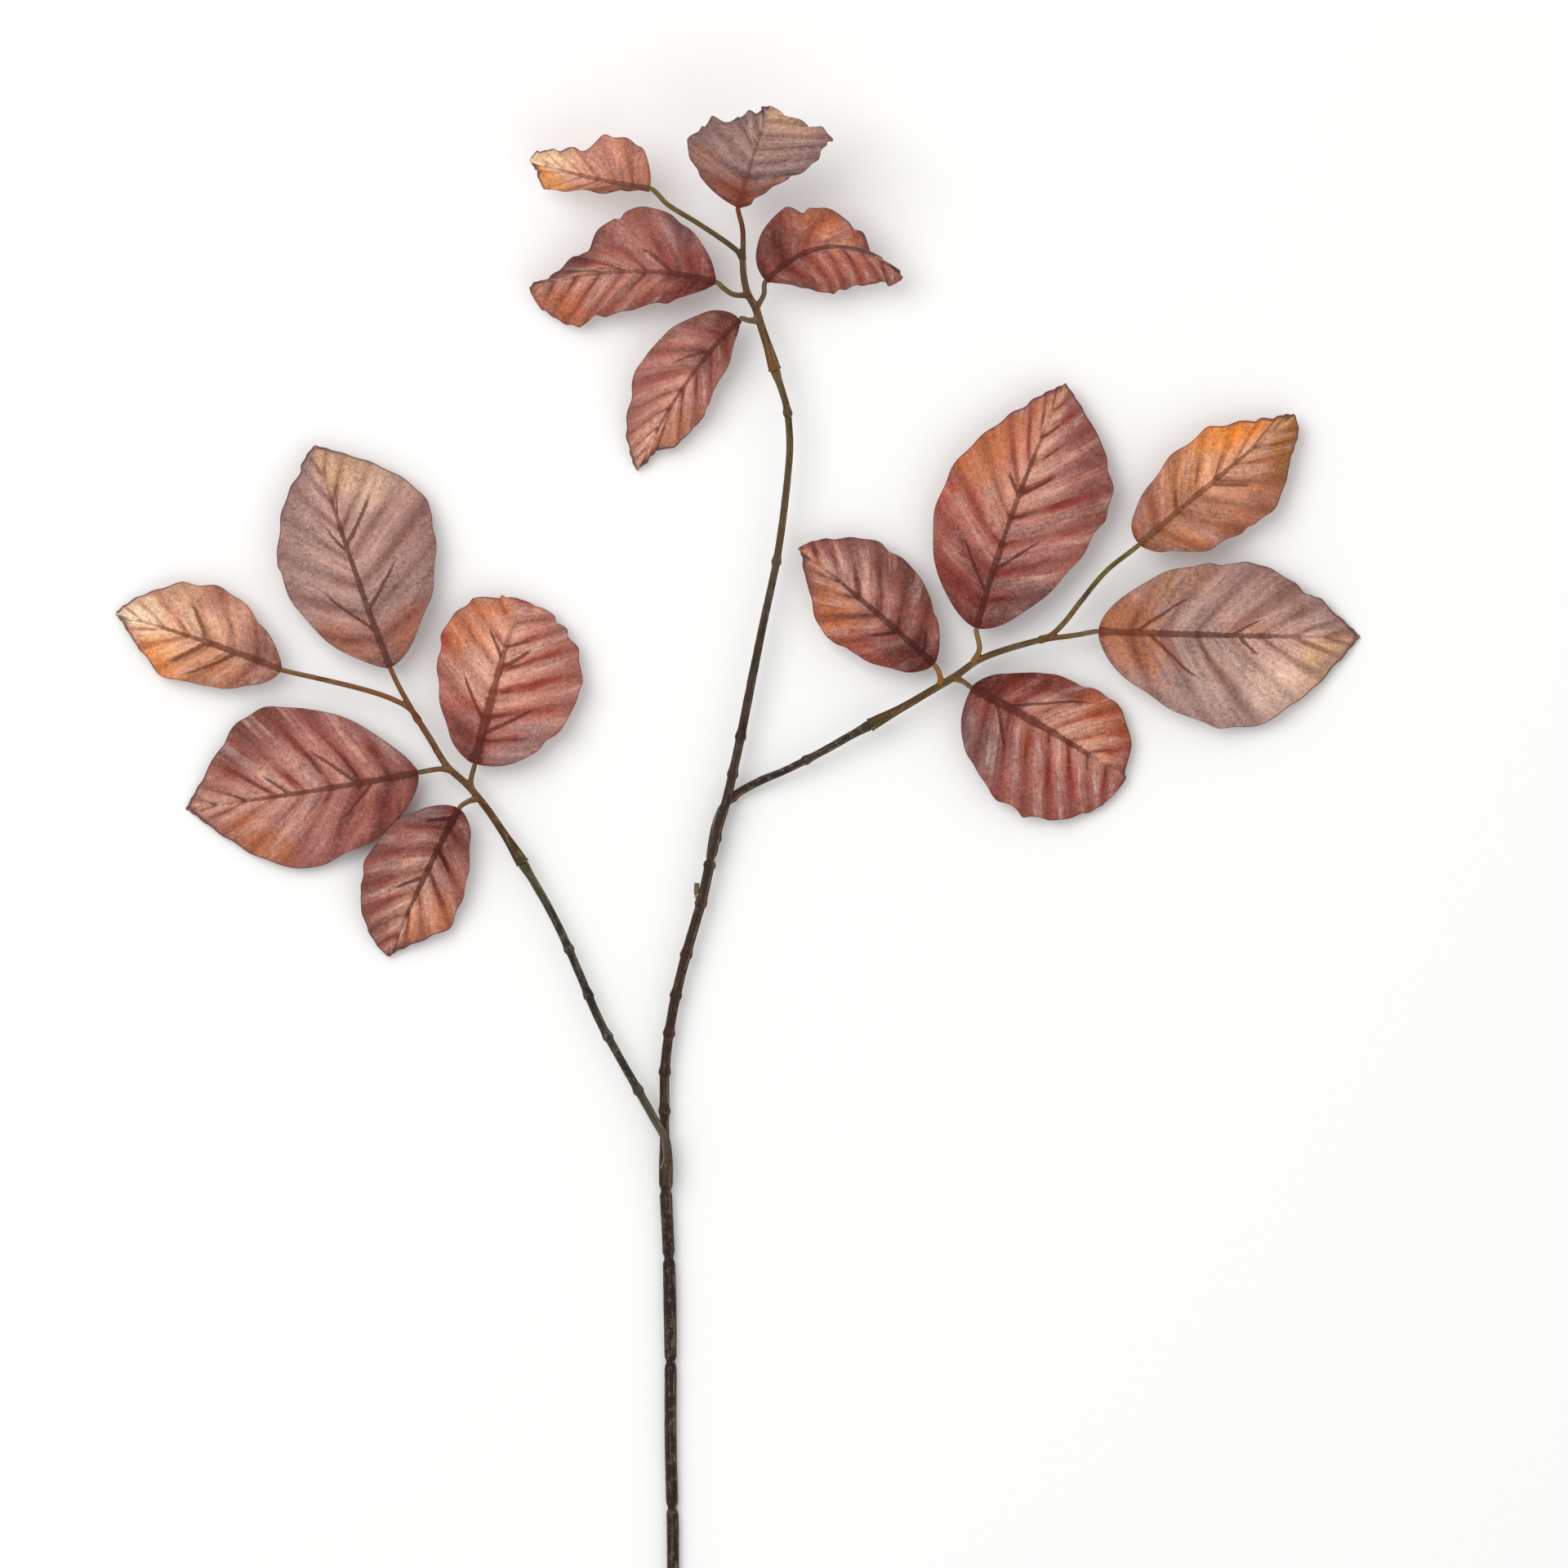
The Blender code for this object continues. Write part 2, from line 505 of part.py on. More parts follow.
def blade_point(spec, a, share, hand):
    """A point of the blade's mean surface. Each row follows a side vein, from the rib at a to the
    edge further up; share is 0 at the rib's side and 1 at the edge, hand is 1 left, -1 right."""
    side = spec["left"] if hand > 0 else spec["right"]
    edge_rise, cup = spec["lift"][0 if hand > 0 else 1]
    e = min(a + VEIN_LEAN * math.sin(math.pi * a), 1.0)
    s = a + (e - a) * share
    rib = RIB_AT_BASE + (RIB_AT_TIP - RIB_AT_BASE) * a
    wave = EDGE_WAVE * math.cos(math.tau * spec["veins"] * a) * math.sin(math.pi * a) ** 0.5
    reach = max(half_width(side, e) + wave, rib + 0.4)
    across = rib + (reach - rib) * share
    centre = rib_point(spec, s)
    ahead = rib_point(spec, min(s + 0.01, 1.0)) - rib_point(spec, min(s + 0.01, 1.0) - 0.02)
    aside = Vector((-ahead.y, ahead.x, 0)).normalized() * hand
    out = across / side[0]
    pleat = -PLEAT * math.cos(math.tau * spec["veins"] * a)
    pleat *= min(1.0, 2.5 * share) * (1 - 0.4 * share) * math.sin(math.pi * a) ** 0.5
    height, waves, phase = spec["ruffle"]
    ruffle = height * share**3 * math.sin(math.tau * (waves * e + phase + 0.35 * hand))
    ruffle *= math.sin(math.pi * e) ** 0.5
    lift = edge_rise * out + cup * out**2 + pleat + ruffle
    return centre + aside * across + UP * lift


def blade_rows(spec):
    """The blade's mean surface as rows of points, from the right edge to the left one."""
    places = [k / (2 * spec["veins"]) for k in range(2 * spec["veins"] + 1)]
    places = sorted(places + list(END_ROWS))
    rows = []
    for a in places:
        right = [blade_point(spec, a, share, -1) for share in reversed(FOLDS_ACROSS)]
        left = [blade_point(spec, a, share, 1) for share in FOLDS_ACROSS]
        rows.append(right + [rib_point(spec, a)] + left)
    return places, rows


def leaf(name, finish):
    """A pleated blade of even thickness with its raised middle rib."""
    spec = LEAVES[name]
    places, rows = blade_rows(spec)
    last, middle = len(rows) - 1, len(rows[0]) // 2
    front, back = [], []
    for i, row in enumerate(rows):
        rib = RIB_RISE_AT_BASE + (RIB_RISE_AT_TIP - RIB_RISE_AT_BASE) * places[i]
        for j, point in enumerate(row):
            along = rows[min(i + 1, last)][j] - rows[max(i - 1, 0)][j]
            across = row[min(j + 1, len(row) - 1)] - row[max(j - 1, 0)]
            facing = along.cross(across).normalized()
            facing *= 1 if facing.z > 0 else -1
            off = BLADE_THICKNESS / 2 + (rib if j == middle else 0)
            front.append(point + facing * off)
            back.append(point - facing * off)
    wide, count = len(rows[0]), len(front)
    faces = []
    for i in range(last):
        for j in range(wide - 1):
            a, b = i * wide + j, i * wide + j + 1
            c, d = b + wide, a + wide
            pair = ((a, b, c), (a, c, d)) if j >= middle else ((a, b, d), (b, c, d))
            for triangle in pair:
                faces.append(triangle)
                faces.append(tuple(count + v for v in reversed(triangle)))
    rim = list(range(wide)) + [i * wide + wide - 1 for i in range(1, last + 1)]
    rim += [last * wide + j for j in range(wide - 2, -1, -1)]
    rim += [i * wide for i in range(last - 1, 0, -1)]
    for a, b in zip(rim, rim[1:] + rim[:1]):
        faces.append((a, count + a, count + b))
        faces.append((a, count + b, b))
    return add_object(name, front + back, faces, finish)


# Assembly

for leftover in list(bpy.data.objects):
    bpy.data.objects.remove(leftover)

spray = bpy.data.objects.new("spray", None)
bpy.context.scene.collection.objects.link(spray)
spray.location = (-MIDDLE[0] * MM, -MIDDLE[1] * MM, 0)

main_skin, main_line, main_hole, main_mouth = stem(
    "main_stem", MAIN_LINE, MAIN_WIRE_RADIUS, True,
    material("main_stem_plastic", COLOURS["skin"], 0.45),
    "main_wire", material("main_wire_steel", COLOURS["wire"], 0.35, 1.0))
left_skin, left_line, left_hole, left_mouth = stem(
    "left_side_stem", LEFT_LINE, SIDE_WIRE_RADIUS, False,
    material("left_stem_plastic", COLOURS["skin"], 0.45),
    "left_wire", material("left_wire_steel", COLOURS["wire"], 0.35, 1.0))
right_skin, right_line, right_hole, right_mouth = stem(
    "right_side_stem", RIGHT_LINE, SIDE_WIRE_RADIUS, False,
    material("right_stem_plastic", COLOURS["skin"], 0.45),
    "right_wire", material("right_wire_steel", COLOURS["wire"], 0.35, 1.0))

add_stub(main_skin, main_skin.active_material)
seat_in(main_skin, left_line, left_mouth, left_skin.active_material)
seat_in(main_skin, right_line, right_mouth, right_skin.active_material)

twig("top_twig", main_line, main_hole, main_mouth, MAIN_WIRE_RADIUS,
     [name for name in LEAVES if "_top_" in name],
     material("top_twig_plastic", COLOURS["twig"], 0.5))
twig("left_twig", left_line, left_hole, left_mouth, SIDE_WIRE_RADIUS,
     [name for name in LEAVES if "_left_" in name],
     material("left_twig_plastic", COLOURS["twig"], 0.5))
twig("right_twig", right_line, right_hole, right_mouth, SIDE_WIRE_RADIUS,
     [name for name in LEAVES if "_right_" in name],
     material("right_twig_plastic", COLOURS["twig"], 0.5))

for leaf_name in LEAVES:
    group = leaf_name.rsplit("_", 1)[0]
    leaf(leaf_name, material(leaf_name + "_fabric", COLOURS[group], 0.8))

bpy.context.view_layer.update()
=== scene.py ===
# The looks of an artificial autumn leaf spray that lies on its back on a pale surface.
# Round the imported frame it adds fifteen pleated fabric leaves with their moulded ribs, the plastic
# skins of the three stems and the three moulded twigs.
# Lengths are millimetres on the spray's own plane: x across, y up the stem, z off the surface.

import math
from functools import reduce

import bpy
import bmesh
import numpy as np
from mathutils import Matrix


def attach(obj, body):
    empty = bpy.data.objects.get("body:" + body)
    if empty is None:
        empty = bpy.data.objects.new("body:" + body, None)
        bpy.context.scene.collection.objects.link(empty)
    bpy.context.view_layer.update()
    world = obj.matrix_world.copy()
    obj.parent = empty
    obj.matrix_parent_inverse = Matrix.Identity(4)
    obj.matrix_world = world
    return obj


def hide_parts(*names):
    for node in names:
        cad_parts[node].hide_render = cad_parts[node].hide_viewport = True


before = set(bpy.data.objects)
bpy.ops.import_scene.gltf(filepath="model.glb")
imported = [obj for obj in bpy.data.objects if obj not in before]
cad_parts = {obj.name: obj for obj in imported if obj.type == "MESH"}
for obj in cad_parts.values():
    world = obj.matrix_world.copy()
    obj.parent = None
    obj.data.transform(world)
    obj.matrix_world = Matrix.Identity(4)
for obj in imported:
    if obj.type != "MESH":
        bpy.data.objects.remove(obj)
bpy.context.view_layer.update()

mm = 0.001
planeMiddle = np.array((27.7, 250.3, 0.0))   # the point of the plane that is the frame's origin
up = np.array((0.0, 0.0, 1.0))


def toFrame(points):
    return (np.asarray(points, float) - planeMiddle) * mm


def colour(red, green, blue):
    # Screen values from 0 to 255, as the shader's linear ones.
    linear = [((v / 255 + 0.055) / 1.055) ** 2.4 for v in (red, green, blue)]
    return (*linear, 1.0)


def hump(values, middle, reach):
    # 1 at the middle, fading smoothly to 0 on both sides.
    return np.exp(-((values - middle) / reach) ** 2)


def unit(vectors):
    return vectors / np.linalg.norm(vectors, axis=-1, keepdims=True)


# Nodes: a graph adds any node with its settings and inputs, and a socket does maths in its graph.

class Socket:
    def __init__(self, graph, output):
        self.graph, self.output = graph, output

    def maths(self, operation, *values):
        return self.graph.node("ShaderNodeMath", {"operation": operation},
                               dict(enumerate(values)))

    def __add__(self, other):
        return self.maths("ADD", self, other)

    def __radd__(self, other):
        return self.maths("ADD", other, self)

    def __sub__(self, other):
        return self.maths("SUBTRACT", self, other)

    def __rsub__(self, other):
        return self.maths("SUBTRACT", other, self)

    def __mul__(self, other):
        return self.maths("MULTIPLY", self, other)

    def __rmul__(self, other):
        return self.maths("MULTIPLY", other, self)

    def __truediv__(self, other):
        return self.maths("DIVIDE", self, other)

    def __abs__(self):
        return self.maths("ABSOLUTE", self)

    def cosine(self):
        return self.maths("COSINE", self)

    def squared(self):
        return self * self

    def largest(self, other):
        return self.maths("MAXIMUM", self, other)

    def step(self, start, end, low=0.0, high=1.0):
        # A smooth change from low to high as the value goes from start to end.
        return self.graph.node("ShaderNodeMapRange", {"interpolation_type": "SMOOTHSTEP"},
                               {0: self, 1: start, 2: end, 3: low, 4: high})


class Graph:
    def __init__(self, tree):
        self.tree = tree

    def node(self, kind, settings=None, inputs=None, output=0):
        made = self.tree.nodes.new(kind)
        for name, value in (settings or {}).items():
            setattr(made, name, value)
        for name, value in (inputs or {}).items():
            if isinstance(value, Socket):
                self.tree.links.new(value.output, made.inputs[name])
            else:
                made.inputs[name].default_value = value
        if len(made.outputs):
            return Socket(self, made.outputs[output])

    def spot(self):
        return self.node("ShaderNodeTexCoord", output="Object")

    def noise(self, spot, scale, detail=2.0, roughness=0.5):
        return self.node("ShaderNodeTexNoise", inputs={
            "Vector": spot, "Scale": scale, "Detail": detail, "Roughness": roughness})

    def sway(self, *settings):
        # Noise that goes as far below zero as above it.
        return self.noise(*settings) - 0.5

    def mixed(self, first, second, amount, blend="MIX"):
        return self.node("ShaderNodeMix", {"data_type": "RGBA", "blend_type": blend},
                         {0: amount, 6: first, 7: second}, 2)

    # Mixes a tone into a shade: stains and prints, and also painted highlights and painted shade.
    def blended(self, shade, tone, amount):
        return self.mixed(shade, colour(*tone), amount)

    def parts(self, vector):
        made = self.tree.nodes.new("ShaderNodeSeparateXYZ")
        self.tree.links.new(vector.output, made.inputs[0])
        return [Socket(self, output) for output in made.outputs]

    def joined(self, *values):
        return self.node("ShaderNodeCombineXYZ", inputs=dict(enumerate(values)))

    def attribute(self, name, output="Vector"):
        return self.node("ShaderNodeAttribute", {"attribute_name": name}, output=output)

    def bump(self, relief, strength, depth):
        return self.node("ShaderNodeBump", inputs={
            "Height": relief, "Strength": strength, "Distance": depth * mm})


def newFinish(name):
    made = bpy.data.materials.new(name)
    made.use_nodes = True
    made.node_tree.nodes.clear()
    return made, Graph(made.node_tree)


def closeFinish(graph, inputs):
    shader = graph.node("ShaderNodeBsdfPrincipled", inputs=inputs)
    graph.node("ShaderNodeOutputMaterial", inputs={"Surface": shader})


def weighed(fields, weights):
    # Fields are values that change over a surface, and here some are added up by their weights.
    return sum(fields[name] * weight for name, weight in weights.items())


def masked(fields, mask, *heights):
    # A mask is its fields' weights, where it starts and ends, and its values there.
    weights, *limits = mask
    return weighed(fields, weights).step(*limits, *heights)


# Meshes

def linked(name, data):
    made = bpy.data.objects.new(name, data)
    bpy.context.scene.collection.objects.link(made)
    return made


def addPiece(name, mesh, node, sharpAngle=None):
    # Puts a finished mesh in the scene in place of a node of the frame.
    if sharpAngle is not None:
        mesh.set_sharp_from_angle(angle=math.radians(sharpAngle))
    mesh.name = name
    piece = linked(name, mesh)
    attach(piece, "root")
    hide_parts(node)


def store(mesh, name, kind, member, values):
    # Keeps a value for each vertex as an attribute.
    layer = mesh.attributes.new(name, kind, "POINT")
    layer.data.foreach_set(member, np.asarray(values, np.float32).ravel())


def storeVectors(mesh, name, values):
    store(mesh, name, "FLOAT_VECTOR", "vector", values)


def baked(source):
    # The mesh that an object's modifiers make, once they are done with.
    bpy.context.view_layer.update()
    graph = bpy.context.evaluated_depsgraph_get()
    mesh = bpy.data.meshes.new_from_object(source.evaluated_get(graph),
                                           preserve_all_data_layers=True, depsgraph=graph)
    source.modifiers.clear()
    bpy.data.objects.remove(source)
    return mesh


# Tubes: chains of points with a thickness and a shade each become tubes in Geometry Nodes.

def tubeNodes():
    tree = bpy.data.node_groups.new("tubes", "GeometryNodeTree")
    for name, kind in (("Chains", "Geometry"), ("Sides", "Int"), ("Bark height", "Float"),
                       ("Bark scale", "Float"), ("Finish", "Material")):
        tree.interface.new_socket(name, in_out="INPUT", socket_type="NodeSocket" + kind)
    tree.interface.new_socket("Tubes", in_out="OUTPUT", socket_type="NodeSocketGeometry")
    graph = Graph(tree)
    given = tree.nodes.new("NodeGroupInput")
    value = {output.name: Socket(graph, output) for output in given.outputs if output.name}
    thickness = graph.node("GeometryNodeInputNamedAttribute", {"data_type": "FLOAT"},
                           {"Name": "thickness"})
    line = graph.node("GeometryNodeMeshToCurve", inputs={"Mesh": value["Chains"]})
    line = graph.node("GeometryNodeSetCurveRadius", inputs={"Curve": line, "Radius": thickness})
    ring = graph.node("GeometryNodeCurvePrimitiveCircle",
                      inputs={"Resolution": value["Sides"], "Radius": 1.0})
    tubes = graph.node("GeometryNodeCurveToMesh", inputs={
        "Curve": line, "Profile Curve": ring, "Fill Caps": True,
        "Scale": graph.node("GeometryNodeInputRadius")})
    bark = graph.sway(graph.node("GeometryNodeInputPosition"), value["Bark scale"], 3.0)
    push = graph.node("ShaderNodeVectorMath", {"operation": "SCALE"}, {
        "Vector": graph.node("GeometryNodeInputNormal"), "Scale": bark * value["Bark height"]})
    tubes = graph.node("GeometryNodeSetPosition", inputs={"Geometry": tubes, "Offset": push})
    tubes = graph.node("GeometryNodeSetShadeSmooth", inputs={"Geometry": tubes})
    tubes = graph.node("GeometryNodeRealizeInstances", inputs={"Geometry": tubes})
    tubes = graph.node("GeometryNodeSetMaterial",
                       inputs={"Geometry": tubes, "Material": value["Finish"]})
    graph.node("NodeGroupOutput", inputs={"Tubes": tubes})
    return tree


tubeTree = tubeNodes()


def tubesOf(chains, finish, sides, barkHeight=0.0, barkScale=400.0):
    # Each chain is (points, radii, shades), and they become one mesh.
    points = np.vstack([toFrame(chain[0]) for chain in chains])
    edges, first = [], 0
    for chain in chains:
        count = len(chain[0])
        edges += [(first + i, first + i + 1) for i in range(count - 1)]
        first += count
    mesh = bpy.data.meshes.new("chains")
    mesh.from_pydata(points.tolist(), edges, [])
    store(mesh, "thickness", "FLOAT", "value", np.concatenate([chain[1] for chain in chains]) * mm)
    source = linked("chains", mesh)
    modifier = source.modifiers.new("tubes", "NODES")
    modifier.node_group = tubeTree
    values = {"Sides": sides, "Bark height": barkHeight * mm, "Bark scale": barkScale,
              "Finish": finish}
    for item in tubeTree.interface.items_tree:
        if item.item_type == "SOCKET" and item.name in values:
            modifier[item.identifier] = values[item.name]
    return baked(source)


def placeOnChains(mesh, chains, chunk=3000):
    # Stores the shade of the nearest chain at each vertex, and the vertex's place round it.
    # The vertices go by in chunks, which keeps the table of distances small.
    count = len(mesh.vertices)
    spots = np.empty(count * 3, np.float32)
    mesh.vertices.foreach_get("co", spots)
    spots = spots.reshape(-1, 3) / mm + planeMiddle
    centres = np.vstack([chain[0] for chain in chains])
    radii = np.concatenate([chain[1] for chain in chains])
    shades = np.vstack([chain[2] for chain in chains])
    ahead = np.vstack([np.gradient(chain[0], axis=0) for chain in chains])
    along = np.concatenate([lengthsAlong(chain[0]) for chain in chains])
    aside = unit(np.cross(ahead, up))
    above = unit(np.cross(aside, ahead))
    nearest = np.empty(count, int)
    for start in range(0, count, chunk):
        gap = np.linalg.norm(spots[start:start + chunk, None] - centres[None], axis=2)
        nearest[start:start + chunk] = np.argmin(gap / radii, axis=1)
    out = (spots - centres[nearest]) / radii[nearest, None]
    place = np.stack(((out * aside[nearest]).sum(1), (out * above[nearest]).sum(1),
                      along[nearest]), -1)
    for layer in ("shade", "thickness"):
        if layer in mesh.attributes:
            mesh.attributes.remove(mesh.attributes[layer])
    store(mesh, "shade", "FLOAT_COLOR", "color", shades[nearest])
    storeVectors(mesh, "tubePlace", place)
    return mesh


def lengthsAlong(points):
    return np.concatenate(([0.0], np.cumsum(np.linalg.norm(np.diff(points, axis=0), axis=1))))


def smoothLine(points, step):
    # A smooth curve through points of any width: (distances along, samples).
    points = np.asarray(points, float)
    knots = lengthsAlong(points[:, :3])
    last = len(points) - 1
    before = np.maximum(np.arange(last + 1) - 1, 0)
    after = np.minimum(np.arange(last + 1) + 1, last)
    slopes = (points[after] - points[before]) / (knots[after] - knots[before])[:, None]
    places = np.linspace(0.0, knots[-1], max(2, round(knots[-1] / step)) + 1)
    part = np.clip(np.searchsorted(knots, places, side="right") - 1, 0, last - 1)
    span = (knots[part + 1] - knots[part])[:, None]
    t = (places - knots[part])[:, None] / span
    samples = ((2 * t**3 - 3 * t**2 + 1) * points[part] + (t**3 - 2 * t**2 + t) * span
               * slopes[part] + (3 * t**2 - 2 * t**3) * points[part + 1]
               + (t**3 - t**2) * span * slopes[part + 1])
    return places, samples


def shadesAlong(places, tones):
    # Blends tones, each (place, colour), along a line.
    at = [tone[0] for tone in tones]
    shades = np.array([colour(*tone[1]) for tone in tones])
    return np.stack([np.interp(places, at, shades[:, i]) for i in range(4)], axis=1)


# Leaves: base and tip are the ends of the middle rib, arch is its rise between them, and bow bends
# it to the left as the leaf points. left and right give a side's width, where it is widest, how
# sharply it rises and falls, and any bulge or dent (where, how far out, half length). lift is how
# far each side's edge is raised and cupped, and ruffle the height, number and start of its waves.
# cloth and stripe are colours. stripes is how strongly, on the left and right, the veins are
# stained (partly dye, partly painted shade), the pleats' ridges get painted highlights and the
# creases near the rib get painted shade.
# A tint is a colour, its place along the leaf and across it (1 is the left edge, -1 the right),
# its spans, and its strength. A side rib is its hand, the rows of veins that it starts and ends
# in, and how far out it reaches. rib is the shade of the middle rib at its base and further up,
# its width and how strongly the ribs show. shadow is how dark the base is on the left and right,
# and light how strong the painted highlight is on the cloth beside the rib further up. An edge
# is a lobe or a notch: its hand, its place, how far it stands out and its half length. A swing
# is the same, but moves the edge towards the tip. Hands are 1 for left and -1 for right.

leafForm = {
    "veinLean": 0.26, "veinCurve": 1.12, "pleat": 0.95, "crispness": 0.55, "pleatStart": 3.0,
    "pleatFade": 0.45, "edgeWave": 0.4, "thickness": 0.45, "collar": 0.35, "leastBlade": 0.05,
    "ribAtBase": 1.1, "ribAtTip": 0.35, "ribRiseAtBase": 0.55, "ribRiseAtTip": 0.1,
    "ribRoundness": 1.2, "ruffleShift": 0.35, "rowsPerVein": 16, "columns": 22,
    "crowding": 0.10, "baseRows": (0.14, 40), "tipRows": (0.0015, 0.98, 0.988, 0.995, 0.9985),
    "ribColumns": (-0.7, -0.35, 0.0, 0.35, 0.7), "farFromEdge": 9.0, "stride": 0.01, "seed": 7,
}
# A leaf's unevenness: edges, waves and creases are how many to draw, then the limits of each
# value. edgeGrows is how fast the edge's line grows from the base and from the tip, and
# crinkleGrows how fast the waves and creases grow from the rib.
foldForm = {
    "pleatDepths": (0.65, 1.25), "pleatEnds": (-0.35, 0.35),
    "edges": (5, (9, 34), (0, math.tau), (0.10, 0.26)),
    "waves": (5, (2, 7), (-5, 5), (0, math.tau), (0.08, 0.22)),
    "creases": (7, (18, 52), (-18, 18), (0, math.tau), (0.015, 0.05)),
    "edgeGrows": (12, 8), "crinkleGrows": 6,
}

